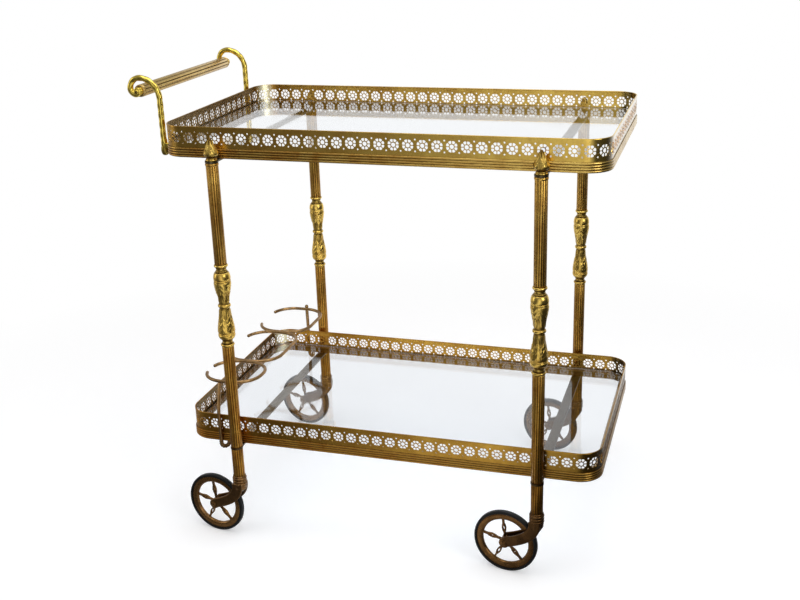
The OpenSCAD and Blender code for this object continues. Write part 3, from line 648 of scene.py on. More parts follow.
def rosetteCell(pitch, height, cuts):
    # one rosette and the half dots on both sides of it
    dot, rise, middle = gallery["dotRadius"], gallery["dotRise"], gallery["centreHeight"]
    outline = [(-pitch / 2, 0), (pitch / 2, 0)]
    for side in (1, -1):
        for centre in (middle - side * rise, middle + side * rise):
            for i in range(gallery["dotSteps"] + 1):
                angle = math.pi * i / gallery["dotSteps"]
                outline.append((side * (pitch / 2 - dot * math.sin(angle)),
                                centre - side * dot * math.cos(angle)))
        if side > 0:
            outline += [(pitch / 2, height), (-pitch / 2, height)]
    steps = gallery["eyeSteps"]
    eye = [(gallery["eyeRadius"] * math.cos(a), middle + gallery["eyeRadius"] * math.sin(a))
           for a in (math.tau * i / steps for i in range(steps))]
    petals = gallery["petals"]
    loops = [outline, eye] + [petalLoop(math.tau * (i + 0.5) / petals) for i in range(petals)]
    bm = newMesh()
    plate(bm, loops, 0)
    for i in range(cuts):
        x = pitch * ((i + 1) / (cuts + 1) - 0.5)
        bmesh.ops.bisect_plane(bm, geom=everything(bm), plane_co=(x, 0, 0), plane_no=(1, 0, 0), dist=0.001)
    return bm


def onQuarter(along, depth):
    # a point of the strip, from the middle of the long side round the +X +Y corner, depth inwards
    radius = tray["cornerRadius"]
    sideLength = tray["length"] / 2 - radius
    sideWidth = tray["width"] / 2 - radius
    turn = min(math.pi / 2, max(0.0, (along - sideLength) / radius))
    past = max(0.0, along - sideLength - math.pi / 2 * radius)
    outward = Vector((math.sin(turn), math.cos(turn)))
    corner = Vector((min(along, sideLength), sideWidth)) + outward * (radius - depth)
    return corner.x, corner.y - past


def buildGallery(node):
    low, high = nodeBox(node)
    height = high.z - low.z
    radius = tray["cornerRadius"]
    sideLength = tray["length"] / 2 - radius
    quarter = sideLength + math.pi / 2 * radius + tray["width"] / 2 - radius
    pitch = quarter / gallery["perQuarter"]
    bm = newMesh()
    for i in range(gallery["perQuarter"]):
        bent = sideLength - pitch < i * pitch < sideLength + math.pi / 2 * radius
        cell = rosetteCell(pitch, height, gallery["cornerCuts"] if bent else 0)
        addPart(bm, cell, Matrix.Translation(((i + 0.5) * pitch, 0, 0)))
    bmesh.ops.remove_doubles(bm, verts=bm.verts, dist=gallery["seam"])
    grown = bmesh.ops.extrude_face_region(bm, geom=bm.faces[:])["geom"]
    inner = [item for item in grown if isinstance(item, bmesh.types.BMVert)]
    bmesh.ops.translate(bm, vec=(0, 0, gallery["thickness"]), verts=inner)
    ends = [face for face in bm.faces if all(v.co.x < gallery["seam"] for v in face.verts)
            or all(v.co.x > quarter - gallery["seam"] for v in face.verts)]
    bmesh.ops.delete(bm, geom=ends, context="FACES_ONLY")
    for vert in bm.verts:
        along, rise, depth = vert.co
        x, y = onQuarter(along, depth)
        vert.co = (x, y, low.z + rise)
    for axis in "XY":
        bmesh.ops.mirror(bm, geom=everything(bm), matrix=Matrix(), merge_dist=gallery["seam"], axis=axis)
    bmesh.ops.translate(bm, vec=(tray["middleX"], 0, 0), verts=bm.verts)
    # the rounded rim along the top
    rimIn, rimOut = -gallery["thickness"] - gallery["rimInside"], gallery["rimProud"]
    rimMiddle, rimHalf = (rimIn + rimOut) / 2, (rimOut - rimIn) / 2
    angles = [math.pi * i / gallery["rimSteps"] for i in range(gallery["rimSteps"] + 1)]
    outline = [(rimMiddle - rimHalf * math.cos(a), -rimHalf + rimHalf * math.sin(a), 0) for a in angles]
    outline = [(rimIn, -gallery["rimHeight"], 0)] + outline + [(rimOut, -gallery["rimHeight"], 0)]
    rim = newMesh()
    edges = chain(rim, outline, closed=True)[1]
    sweep(rim, edges, outlineStations(high.z), closed=True)
    addPart(bm, rim)
    makePiece(bm, node + "_pierced", "root", "gallery_brass", (node,))


moulding = {
    "reeds": 4, "reedSteps": 7, "proud": 1.8,
    "wallIn": -1.4, "grooveX": 0.6, "ledgeIn": -10.2, "ledgeThickness": 2.0,
    "cornerGrime": (0.8, 0.3, 0.3, 0.8, 0.3, 0.5),  # at the corners inside, from the top to the foot
}


def buildMoulding(node):
    low, high = nodeBox(node)
    height = high.z - low.z
    reedRadius = height / moulding["reeds"] / 2
    middle = moulding["proud"] - reedRadius
    sweepHalf = math.degrees(math.acos((moulding["grooveX"] - middle) / reedRadius))
    outline, grooves = [], []
    for reed in range(moulding["reeds"]):
        for i in range(moulding["reedSteps"] + 1):
            share = 2 * i / moulding["reedSteps"] - 1
            angle = math.radians(sweepHalf * share)
            outline.append((middle + reedRadius * math.cos(angle),
                            (2 * reed + 1) * reedRadius + reedRadius * math.sin(angle), 0))
            grooves.append(abs(share) ** 3)
    groove, ledge, wall = moulding["grooveX"], moulding["ledgeIn"], moulding["wallIn"]
    under = height - moulding["ledgeThickness"]
    inside = ((groove, height), (ledge, height), (ledge, under), (wall, under), (wall, 0), (groove, 0))
    outline += [(x, y, 0) for x, y in inside]
    grooves += moulding["cornerGrime"]
    bm = newMesh()
    edges = chain(bm, outline, closed=True, grooves=grooves)[1]
    sweep(bm, edges, outlineStations(low.z), closed=True)
    makePiece(bm, node + "_reeded", "root", "moulding_brass", (node,))


pane = {"bevel": 0.9, "bevelSteps": 3, "cornerSteps": 12}


def buildGlass(node):
    low, high = nodeBox(node)
    size = high - low
    bm = newMesh()
    addBlock(bm, (low + high) / 2, size)
    upright = [edge for edge in bm.edges if abs(edge.verts[0].co.z - edge.verts[1].co.z) > size.z / 2]
    corner = tray["cornerRadius"] - (tray["length"] - size.x) / 2
    bevelEdges(bm, upright, corner, pane["cornerSteps"])
    bevelEdges(bm, sharpEdges(bm), pane["bevel"], pane["bevelSteps"])
    makePiece(bm, node + "_pane", "root", "glass", (node,), sharpAngle=12)


for tier in ("upper", "lower"):
    buildGallery(tier + "_gallery")
    buildMoulding(tier + "_moulding")
    buildGlass(tier + "_glass")
print("trays made")


# legs

tube = {
    "reeds": 14, "grooveDepth": 1.15, "crown": 0.4,
    # where a reed's points lie, from groove to groove
    "across": (-1, -0.86, -0.62, -0.32, 0, 0.32, 0.62, 0.86),
    "endLength": 0.8, "endShare": 0.94,  # the ends are a little narrower
    "ringDrop": 5.0, "ringHeight": 4.4, "ringRise": 1.1, "ringFoot": 0.2, "ringInside": 1.2,
}


def reededLoop(bm, radius, reeds, depth, crown):
    points, grooves = [], []
    for i in range(reeds):
        for share in tube["across"]:
            angle = math.tau * (i + share / 2) / reeds
            r = radius - crown * share ** 2 - (depth - crown) * abs(share) ** 9
            points.append((r * math.cos(angle), r * math.sin(angle), 0))
            grooves.append(abs(share) ** 4)
    return chain(bm, points, closed=True, grooves=grooves)[1]


def buildTube(node, ringAt=None):
    low, high = nodeBox(node)
    middle = nodeMiddle(node)
    radius = (high.x - low.x) / 2
    bm = newMesh()
    edges = reededLoop(bm, radius, tube["reeds"], tube["grooveDepth"], tube["crown"])
    end, length = tube["endShare"], tube["endLength"]
    heights = ((low.z, end), (low.z + length, 1.0), (high.z - length, 1.0), (high.z, end))
    sweep(bm, edges, [Matrix.Translation((middle.x, middle.y, z)) @ Matrix.Diagonal((share, share, 1, 1))
                      for z, share in heights])
    if ringAt is not None:
        inside, foot, top = radius - tube["ringInside"], tube["ringFoot"], tube["ringHeight"]
        outline = [(inside, 0)] + bead(radius - foot, foot, top - foot, tube["ringRise"]) + [(inside, top)]
        addPart(bm, lathe(outline, 36), Matrix.Translation((middle.x, middle.y, ringAt)))
    makePiece(bm, node + "_reeded", "root", "tube_brass", (node,))


baluster = {
    "ringRadius": 10.4, "waistRadius": 8.4, "bulgeRadius": 13.9, "neckRadius": 8.1, "collarRadius": 11.3,
    "lipAt": (0.655, 0.585), "bulgeAt": (0.69, 0.64),  # shares of the lower half and of the upper half
    "lipRise": 0.7, "neckAt": 0.84,
    "leaves": 6, "leafRise": 1.25, "leafGrime": 0.66, "turns": 96,
    "leafTips": 0.08, "plainWaist": (0.05, 0.35), "waistRise": 0.5,
}

leaf = {
    "rows": ((0.0, 1.0), (0.38, 0.8)),  # where each row's tips are, and its height
    "lobes": 4.5, "lobeDepth": 0.2, "spread": 1.25, "spreadPower": 0.6, "width": 0.94,
    "edgeOut": 0.02, "edgeIn": 0.14, "flatness": 0.8,
    "veinDepth": 0.34, "veinSlant": 0.8, "ribRise": 0.3, "ribWidth": 0.12,
}


def balusterHalf(h, end):
    # the outline from the middle ring to one end, 0 the lower and 1 the upper, as (radius, height)
    shape = baluster
    ring, waist, bulge, neck = (shape[k] for k in ("ringRadius", "waistRadius", "bulgeRadius", "neckRadius"))
    lipZ, bulgeZ, neckZ = h * shape["lipAt"][end], h * shape["bulgeAt"][end], h * shape["neckAt"]
    # the middle ring and the waist
    out = [(ring, 0), (ring, 0.9), (ring - 0.4, 1.8), (ring - 1.2, 2.3)]
    out += [(waist + 0.2, 2.6), (waist, 3.4), (waist, 5.0)]
    # the leafed bell, its lip and the dome over it
    out += eased((waist, 6.0), (bulge - 0.9, lipZ), 30)
    out += bead(bulge - 0.9, lipZ + 0.2, lipZ + 2.2, shape["lipRise"], 5)
    out += eased((bulge - 0.6, lipZ + 2.4), (bulge, bulgeZ + 1.0), 4)
    dome = neckZ - 3.6 - bulgeZ
    out += [(neck + 1.3 + (bulge - neck - 1.3) * math.cos(math.pi / 2 * i / 9) ** 0.8,
             bulgeZ + 1.0 + dome * math.sin(math.pi / 2 * i / 9) ** 1.15) for i in range(1, 10)]
    # the neck between its small ring and the collar at the end
    out += bead(neck + 0.9, neckZ - 2.4, neckZ - 0.6, 0.8)
    out += eased((neck + 0.3, neckZ - 0.3), (neck, neckZ + 0.6), 3)
    out += eased((neck, neckZ + 1.2), (neck + 0.9, h - 5.9), 3)
    out += bead(neck + 0.9, h - 5.6, h - 1.2, shape["collarRadius"] - neck - 0.9, 8)
    out += [(neck + 1.4, h - 1.0), (neck + 1.7, h)]
    return out


def leafAcross(angle, leaves, row):
    # -1 to 1 over the width of the leaf at this angle; every second row is half a leaf on
    return ((angle / math.tau * leaves + row / 2 + 0.5) % 1.0 - 0.5) * 2


def leafRelief(angle, share, leaves):
    # height, 0 to 1, of two rows of veined leaves whose tips point at share 0
    top = 0.0
    for row, (tip, rise) in enumerate(leaf["rows"]):
        across = leafAcross(angle, leaves, row)
        along = (share - tip) / (1 - tip)
        if along <= 0:
            continue
        lobes = 1 - leaf["lobeDepth"] * abs(math.sin(math.pi * leaf["lobes"] * along))
        half = min(1.0, leaf["spread"] * along ** leaf["spreadPower"]) * leaf["width"] * lobes
        inside = smoothStep(half + leaf["edgeOut"], half - leaf["edgeIn"], abs(across))
        if inside <= 0:
            continue
        dome = math.sqrt(max(0.0, 1 - (across / max(half, 0.05)) ** 2 * leaf["flatness"]))
        wave = math.cos(math.tau * (leaf["lobes"] * along - leaf["veinSlant"] * abs(across)))
        veins = leaf["veinDepth"] * (0.5 + 0.5 * wave)
        rib = leaf["ribRise"] * math.exp(-(across / leaf["ribWidth"]) ** 2)
        top = max(top, rise * inside * (0.5 + 0.5 * dome - veins + rib))
    return min(1.0, top)


def carve(bm, relief, rise, grimeShare=0.9):
    # lifts a turned mesh outwards by relief(angle, height), and marks what stays low as groove
    layer = bm.verts.layers.float["groove"]
    for vert in bm.verts:
        radius = math.hypot(vert.co.x, vert.co.y)
        if radius < onAxis:
            continue
        value = relief(math.atan2(vert.co.y, vert.co.x), vert.co.z)
        if value is None:
            continue
        vert.co.x *= (radius + rise * value) / radius
        vert.co.y *= (radius + rise * value) / radius
        vert[layer] = max(vert[layer], (1 - min(1.0, value * 1.25)) * grimeShare)


def buildBaluster(leg):
    node = "baluster_" + leg
    low, high = nodeBox(node)
    middle = nodeMiddle(node)
    h = (high.z - low.z) / 2
    outline = mirrored(balusterHalf(h, 0)[1:]) + balusterHalf(h, 1)
    bm = lathe([(onAxis, -h)] + outline + [(onAxis, h)], baluster["turns"])
    tips = baluster["leafTips"]

    def relief(angle, height):
        share = (abs(height) / h - tips) / (baluster["lipAt"][int(height > 0)] - tips)
        if share < -0.02 or share > 1.0:
            return None
        turn = 0.0 if height > 0 else math.pi / baluster["leaves"]
        fade = smoothStep(-0.02, 0.06, share) * smoothStep(1.0, 0.95, share)
        waist = baluster["waistRise"] * (1 - smoothStep(*baluster["plainWaist"], share))
        return max(waist, leafRelief(angle + turn, max(share, 0.001), baluster["leaves"])) * fade

    carve(bm, relief, baluster["leafRise"], baluster["leafGrime"])
    bmesh.ops.translate(bm, vec=middle, verts=bm.verts)
    makePiece(bm, node + "_cast", "root", "cast_brass", (node,), sharpAngle=60)


finial = {
    # the bud's outline under its leaves, as (radius, share of the height)
    "bud": ((6.8, 0.13), (7.4, 0.17), (9.4, 0.22), (10.8, 0.27), (11.3, 0.32), (11.0, 0.37), (10.0, 0.43),
            (8.7, 0.5), (7.3, 0.58), (6.1, 0.66), (5.0, 0.74), (4.1, 0.82), (3.2, 0.89), (2.2, 0.94),
            (1.2, 0.98)),
    "footRadius": 8.5, "ringRadius": 7.6, "leafRise": 1.7, "leaves": 6, "turns": 84, "smoothing": 3,
    "rows": 3, "rowStart": -0.06, "rowStep": 0.23, "rowLength": 0.5, "rowFade": 0.12,
    "leafFrom": 0.13, "leafTo": 0.98, "edgeOut": 0.03, "edgeIn": 0.16, "ribRise": 0.25, "ribWidth": 0.12,
}


def buildFinial(leg):
    node = "finial_" + leg
    low, high = nodeBox(node)
    middle = nodeMiddle(node)
    h = high.z - low.z
    footRadius = finial["footRadius"] - 0.4
    outline = [(onAxis, 0), (footRadius, 0)] + bead(footRadius, 0.2, h * 0.07, 1.0)
    outline += bead(finial["ringRadius"], h * 0.075, h * 0.12, 0.7)
    for (r0, z0), (r1, z1) in zip(finial["bud"], finial["bud"][1:]):
        for i in range(finial["smoothing"]):
            share = i / finial["smoothing"]
            outline.append((r0 + (r1 - r0) * share, h * (z0 + (z1 - z0) * share)))
    outline += [(1.0, h * 0.98), (0.6, h * 0.995), (onAxis, h)]
    bm = lathe(outline, finial["turns"])
    foot, top = h * finial["leafFrom"], h * finial["leafTo"]

    def relief(angle, height):
        if height < foot:
            return None
        share = (height - foot) / (top - foot)
        best = 0.0
        for row in range(finial["rows"]):
            start = row * finial["rowStep"] + finial["rowStart"]
            along = (share - start) / finial["rowLength"]
            if not 0 <= along <= 1:
                continue
            across = leafAcross(angle, finial["leaves"], row)
            half = max(0.0, 1 - along ** 2.2) ** 0.6
            inside = smoothStep(half + finial["edgeOut"], half - finial["edgeIn"], abs(across))
            rib = finial["ribRise"] * math.exp(-(across / finial["ribWidth"]) ** 2)
            best = max(best, inside * (0.25 + 0.75 * along) * (0.8 + rib) * (1 - finial["rowFade"] * row))
        return min(1.0, best)

    carve(bm, relief, finial["leafRise"])
    bmesh.ops.translate(bm, vec=(middle.x, middle.y, low.z), verts=bm.verts)
    makePiece(bm, node + "_bud", "root", "cast_brass", (node,), sharpAngle=60)


for leg in legNames:
    buildFinial(leg)
    buildTube("upper_tube_" + leg, nodeBox("upper_tube_" + leg)[1].z - tube["ringDrop"])
    buildBaluster(leg)
    buildTube("middle_tube_" + leg)
    buildTube("foot_tube_" + leg)
print("legs made")


# handle

handle = {
    "scroll": (33.5, 18, 9, 4.5),  # radii of the turns from the upright to the eye
    "fuller": 0.75,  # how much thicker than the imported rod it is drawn, in radius
    "strands": 2, "strandDepth": 0.085, "sharpness": 1.5, "strandGrime": 0.4, "sides": 20,
    "twistLength": 31.0, "twistStep": 1.3,
    "eyeRadius": 6.6,
    "barReeds": 10, "barDepth": 2.4, "barCrown": 0.6, "barEnd": 0.93,
    # the collars at the bar's ends: how far each bead is inset, where it starts and ends, how far it rises
    "collarBeads": ((1.6, 0.2, 2.0, 1.1), (1.2, 2.1, 3.9, 1.2), (1.6, 4.0, 5.8, 1.1)),
    "screwRadius": 4.0, "screwDepth": 2.6,
    # the socket's outline, as shares of its radius and height
    "socketOutline": (
        (0, 0), (0.42, 0.015), (0.68, 0.06), (0.85, 0.13), (0.94, 0.22), (0.97, 0.33), (0.92, 0.44),
        (0.78, 0.53), (0.58, 0.58), (0.56, 0.6), (0.62, 0.65), (0.72, 0.72), (0.76, 0.79), (0.73, 0.87),
        (0.63, 0.94), (0.6, 1.0), (0, 1.0)),
    "socketWaist": 0.59, "socketPolish": 0.12, "socketLobes": 8, "fluteSharpness": 0.6, "fluteRise": 0.6,
    "lugWidth": 8, "lugHeight": 9, "lugAt": 0.4, "lugBevel": 1.2,
}


def armPath(node):
    # up, over in a half turn and round into the eye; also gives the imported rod's radius
    low, high = nodeBox(node)
    first, second, third, last = handle["scroll"]
    rodRadius = (high.x - low.x - first - second) / 2
    first, second = first - handle["fuller"], second - handle["fuller"]
    y = (low.y + high.y) / 2
    x, bendZ = high.x - rodRadius - handle["fuller"], high.z - rodRadius - handle["fuller"] - first
    path = [Vector((x, y, low.z)), Vector((x, y, bendZ))]
    overX, overZ = x - first, bendZ + first - second
    eyeX = overX - second + third
    turns = ((overX, bendZ, first, 14), (overX, overZ, second, 12),
             (eyeX, overZ, third, 10), (eyeX, overZ - third + last, last, 8))
    for i, (centreX, centreZ, radius, steps) in enumerate(turns):
        centre = Vector((centreX, y, centreZ))
        path += arcPoints(centre, radius, 90 * i, 90 * i + 90, alongX, upward, steps)[1:]
    return path, rodRadius


def buildArm(side):
    node = "handle_arm_" + side
    path, rodRadius = armPath(node)
    points = resampled(path, handle["twistStep"])
    bm = newMesh()
    edges = strandedLoop(bm, rodRadius + handle["fuller"], handle)
    sweep(bm, edges, stationsAlong(points, alongY, math.tau / handle["twistLength"]))
    # the ringed eye that holds the bar
    low, high = nodeBox(node)
    half = (high.y - low.y) / 2
    radius = handle["eyeRadius"]
    end = [(onAxis, -half), (radius - 1.6, -half)] + bead(radius - 1.2, -half + 0.2, -half + 3.0, 1.2)
    outline = end + bead(radius - 0.8, -half + 3.2, half - 3.2, 0.8) + mirrored(end)
    bar = nodeMiddle("handle_bar")
    eye = Matrix.Translation((bar.x, path[-1].y, bar.z)) @ Matrix.Rotation(math.pi / 2, 4, "X")
    addPart(bm, lathe(outline, 36, grimy=False), eye)
    makePiece(bm, node + "_twisted", "root", "handle_brass", (node,), sharpAngle=50)


def buildBar():
    low, high = nodeBox("handle_bar")
    middle = nodeMiddle("handle_bar")
    along = Matrix.Translation(middle) @ Matrix.Rotation(math.pi / 2, 4, "X")
    half = (high.y - low.y) / 2
    collar = (high.z - low.z) / 2
    bm = newMesh()
    edges = reededLoop(bm, collar, handle["barReeds"], handle["barDepth"], handle["barCrown"])
    end = handle["barEnd"]
    ends = ((-half + 4, end), (-half + 6, 1.0), (half - 6, 1.0), (half - 4, end))
    sweep(bm, edges, [along @ Matrix.Translation((0, 0, z)) @ Matrix.Diagonal((share, share, 1, 1))
                      for z, share in ends])
    outline = [(onAxis, 0), (collar - 2.6, 0)]
    for inset, beadLow, beadHigh, rise in handle["collarBeads"]:
        outline += bead(collar - inset, beadLow, beadHigh, rise)
    outline.append((onAxis, 5.9))
    for side in (-1, 1):
        turned = Matrix.Rotation(0 if side < 0 else math.pi, 4, "X")
        addPart(bm, lathe(outline, 40, grimy=False), along @ Matrix.Translation((0, 0, side * half)) @ turned)
    makePiece(bm, "handle_bar_reeded", "root", "bar_brass", ("handle_bar",))


def buildScrews():
    low, high = nodeBox("handle_screws")
    middle = nodeMiddle("handle_bar")
    bm = newMesh()
    radius, depth = handle["screwRadius"], handle["screwDepth"]
    outline = [(onAxis, -depth), (radius, -depth)] + eased((radius, -depth + 0.4), (2.4, -0.5), 4, 1.6)
    outline += [(1.3, -0.1), (onAxis, 0)]
    for side in (-1, 1):
        turn = Matrix.Rotation(math.pi / 2 * -side, 4, "X")
        place = Vector((middle.x, high.y if side > 0 else low.y, middle.z))
        addPart(bm, lathe(outline, 24), Matrix.Translation(place) @ turn)
    makePiece(bm, "handle_screw_heads", "root", "handle_brass", ("handle_screws",))


def buildSocket(side):
    node = "handle_socket_" + side
    low, high = nodeBox(node)
    length = high.z - low.z
    centre = nodeMiddle("handle_arm_" + side)
    x = nodeBox("handle_arm_" + side)[1].x - armPath("handle_arm_" + side)[1]
    radius = (high.y - low.y) / 2
    bm = lathe([(max(onAxis, radius * r), length * z) for r, z in handle["socketOutline"]], 48)

    def relief(angle, height):
        # the drop under the ball is fluted and dark
        if height > length * handle["socketWaist"]:
            return None
        flute = abs(math.cos(angle * handle["socketLobes"] / 2)) ** handle["fluteSharpness"]
        return handle["socketPolish"] * flute

    carve(bm, relief, handle["fluteRise"])
    bmesh.ops.translate(bm, vec=(x, centre.y, low.z), verts=bm.verts)
    lug = newMesh()
    lugSize = (high.x - x, handle["lugWidth"], handle["lugHeight"])
    lugZ = low.z + length * handle["lugAt"] + handle["lugHeight"] / 2
    addBlock(lug, Vector(((high.x + x) / 2, centre.y, lugZ)), lugSize)
    bevelEdges(lug, lug.edges[:], handle["lugBevel"], 3)
    addPart(bm, lug)
    makePiece(bm, node + "_turned", "root", "handle_brass", (node,), sharpAngle=50)


for side in ("front", "back"):
    buildArm(side)
    buildSocket(side)
buildBar()
buildScrews()
print("handle made")


# bottle rack

rack = {
    "cornerRadius": 40, "endSweep": 75, "wire": 4.0, "wireGap": 0.3, "drawn": 5.8, "postDrawn": 6.2,
    "arcsAt": -293,  # middle of the open arcs, from the middle of the tray
    "frontPost": 4, "frontTip": -2, "backPost": 8, "backTip": 15, "postGap": 1.2,
    "footDrop": 3, "bendRise": 8, "bendRadius": 9, "hookTurn": 35, "hookRadius": 6.6, "hookTip": 2.6,
    "knobRadius": 3.6, "knobRise": 2, "knobSteps": 10,
}

# the thick roped foot of the front hook
rope = {"wire": 7.6, "strands": 3, "strandDepth": 0.2, "sharpness": 1, "strandGrime": 1, "sides": 18,
        "twistLength": 11, "twistStep": 0.9, "rise": 6}


def buildRing(name):
    # an open ring of wire: a closed side, two long arms and two arcs that bend in again
    node = "rack_ring_" + name
    low, high = nodeBox(node)
    half = rack["wire"] / 2
    radius = rack["cornerRadius"]
    z = (low.z + high.z) / 2
    right, front, back = high.x - half - radius, low.y + half + radius, high.y - half - radius
    arcX, sweepBy = tray["middleX"] + rack["arcsAt"], rack["endSweep"]
    path = []
    for x, y, start, end, steps in ((arcX, front, 270 - sweepBy, 270, 12), (right, front, 270, 360, 14),
                                    (right, back, 0, 90, 14), (arcX, back, 90, 90 + sweepBy, 12)):
        path += arcPoints(Vector((x, y, z)), radius, start, end, alongX, alongY, steps)
    bm = newMesh()
    roundWire(bm, path, rack["drawn"], upward)
    makePiece(bm, node + "_wire", "root", "rack_wire", (node,), sharpAngle=60)


def buildPost(name, side):
    # a hook under the lower moulding, an upright, and a bend in to the rings; side is -1 at the front
    node = "rack_post_" + name
    wire, gap, radius = rack["wire"], rack["wireGap"], rack["hookRadius"]
    postY = side * (tray["width"] / 2 + moulding["proud"] + rack["postGap"] + wire / 2)
    ringBox = nodeBox("rack_ring_" + name)
    ringEdge = ringBox[0].y + wire / 2 if side < 0 else ringBox[1].y - wire / 2
    foot = nodeBox("lower_moulding")[0].z - rack["footDrop"]
    bendZ = nodeBox("lower_gallery")[1].z + rack["bendRise"]
    arcX = tray["middleX"] + rack["arcsAt"]
    if side < 0:
        x = arcX + rack["frontPost"]
        tip = Vector((arcX + rack["frontTip"], ringEdge, ringBox[0].z - gap - wire / 2))
    else:
        x = arcX + rack["backPost"]
        tip = Vector((arcX + rack["backTip"], ringEdge + wire + gap, ringBox[1].z))
    turn = math.radians(-rack["hookTurn"] * side)
    ahead = Vector((math.cos(turn), math.sin(turn), 0))
    hook = arcPoints(Vector((x, postY, foot)) + ahead * radius, radius, 360, 180, ahead, upward, 14)
    hook = [hook[0] + upward * rack["hookTip"]] + hook
    path = roundedPath([hook[-1], Vector((x, postY, bendZ)), tip], rack["bendRadius"])
    bm = newMesh()
    roundWire(bm, hook + path[1:], rack["postDrawn"] if side > 0 else rack["drawn"], alongY)
    if side < 0:
        points = resampled(hook[1:] + [hook[-1] + upward * rope["rise"]], rope["twistStep"])
        edges = strandedLoop(bm, rope["wire"] / 2, rope)
        sweep(bm, edges, stationsAlong(points, alongY, math.tau / rope["twistLength"]))
    else:
        knobRadius, steps = rack["knobRadius"], rack["knobSteps"]
        angles = [math.pi * i / steps for i in range(1, steps)]
        knob = [(knobRadius * math.sin(a), -knobRadius * math.cos(a)) for a in angles]
        knob = [(onAxis, -knobRadius)] + knob + [(onAxis, knobRadius)]
        addPart(bm, lathe(knob, 24), Matrix.Translation(tip + upward * rack["knobRise"]))
    makePiece(bm, node + "_wire", "root", "rack_wire", (node,), sharpAngle=60)


for name in ("front", "middle", "back"):
    buildRing(name)
buildPost("front", -1)
buildPost("back", 1)
print("rack made")


# casters

caster = {
    "restTurn": 9, "trail": 52,
    "neckRadius": 11, "neckLength": 27, "ribs": 3, "ribStep": 5, "ribHalf": 1.7, "ribRise": 1.05,
    "cheekIn": 6.5, "cheekThickness": 4.2, "cheekSteps": 20, "cheekGrime": 0.4,
    "cheekRound": 1.6, "cheekRoundShare": 0.24,  # how the cheek's corners are rounded, in mm and as a share
    "hubRadius": 8.6, "axleRadius": 4.5, "axleProud": 1.45,
    # the boss round the axle, as (radius, distance from its inner or outer face)
    "bossInner": ((7.4, 0), (8.2, 0.5), (8.6, 1.5)),
    "bossOuter": ((8.6, 1.7), (8.3, 0.8), (7.5, 0.2), (6.4, 0)),
}

wheel = {
    "radius": 53.7, "tyreThickness": 4.4, "tyreWidth": 10, "tyreShoulder": 2.4, "tyreFit": 0.05,
    "rimThickness": 10.6, "rimWidth": 8.6, "rimSeat": 0.34, "turns": 72,
    # the rim's rounded side, as shares of its thickness and width
    "rimSide": ((0, 0.1), (0.02, 0.2), (0.07, 0.3), (0.14, 0.38), (0.24, 0.44), (0.36, 0.48), (0.5, 0.495),
                (0.64, 0.485), (0.76, 0.46), (0.86, 0.43), (0.93, 0.41), (0.96, 0.35)),
    "hubRadius": 8, "hubGap": 0.3, "bore": 2.55,
    "spokes": 5, "firstSpoke": 25, "spokeWidth": 3.4, "spokeThickness": 4.0, "spokeBevel": 0.55,
    "lozengeWidth": 7.4, "lozengeReach": 0.27, "shoulderReach": 0.62, "shoulderWidth": 0.78,
    "slotReach": 0.6, "slotWidth": 0.42,
}


def casterPlace(leg):
    middle = nodeMiddle("upper_tube_" + leg)
    turn = Matrix.Rotation(math.radians(-caster["restTurn"]), 4, "Z")
    return Matrix.Translation((middle.x, middle.y, 0)) @ turn


def wheelPlace(leg):
    hub = Matrix.Translation((-caster["trail"], 0, wheel["radius"]))
    return casterPlace(leg) @ hub @ Matrix.Rotation(math.pi / 2, 4, "X")


def cheekLine(crownZ, share):
    # the middle line of a fork's cheek, in the caster's own XZ plane
    hubZ = wheel["radius"]
    points = ((-1, crownZ + 12), (2, hubZ + 26), (-20, hubZ + 12), (-caster["trail"], hubZ + 1.5))
    weights = ((1 - share) ** 3, 3 * (1 - share) ** 2 * share, 3 * (1 - share) * share ** 2, share ** 3)
    x, z = (sum(w * p[axis] for w, p in zip(weights, points)) for axis in (0, 1))
    return Vector((x, 0, z))


def buildCheek(bm, side, crownZ):
    # one side of the fork, from the crown to the boss round the axle
    steps, thick, corner = caster["cheekSteps"], caster["cheekThickness"] / 2, caster["cheekRound"]
    hubRadius, flat = caster["hubRadius"], 1 - caster["cheekRoundShare"]
    across = side * (caster["cheekIn"] + thick)
    stations = []
    for i in range(steps + 1):
        share = i / steps
        here = cheekLine(crownZ, share)
        ahead = (cheekLine(crownZ, share + 0.01) - cheekLine(crownZ, share - 0.01)).normalized()
        half = hubRadius + (caster["neckRadius"] - 0.8 - hubRadius) * (1 - share) ** 2
        here.y = across
        stations.append(frameAt(here, alongY.cross(ahead), alongY) @ Matrix.Diagonal((half, 1, 1, 1)))
    loop = []
    for turn, (sideX, sideY) in enumerate(((1, 1), (-1, 1), (-1, -1), (1, -1))):
        for i in range(5):
            angle = math.radians(90 * turn + 90 * i / 4)
            loop.append((sideX * flat + caster["cheekRoundShare"] * math.cos(angle),
                         sideY * (thick - corner) + corner * math.sin(angle), 0))
    edges = chain(bm, loop, closed=True, grooves=[caster["cheekGrime"]] * len(loop))[1]
    sweep(bm, edges, stations)
    boss = [(onAxis, -thick)] + [(radius, -thick + z) for radius, z in caster["bossInner"]]
    boss += [(radius, thick - z) for radius, z in caster["bossOuter"]] + [(onAxis, thick)]
    hub = Matrix.Translation((-caster["trail"], across, wheel["radius"]))
    addPart(bm, lathe(boss, 36, grimy=False), hub @ Matrix.Rotation(-side * math.pi / 2, 4, "X"))


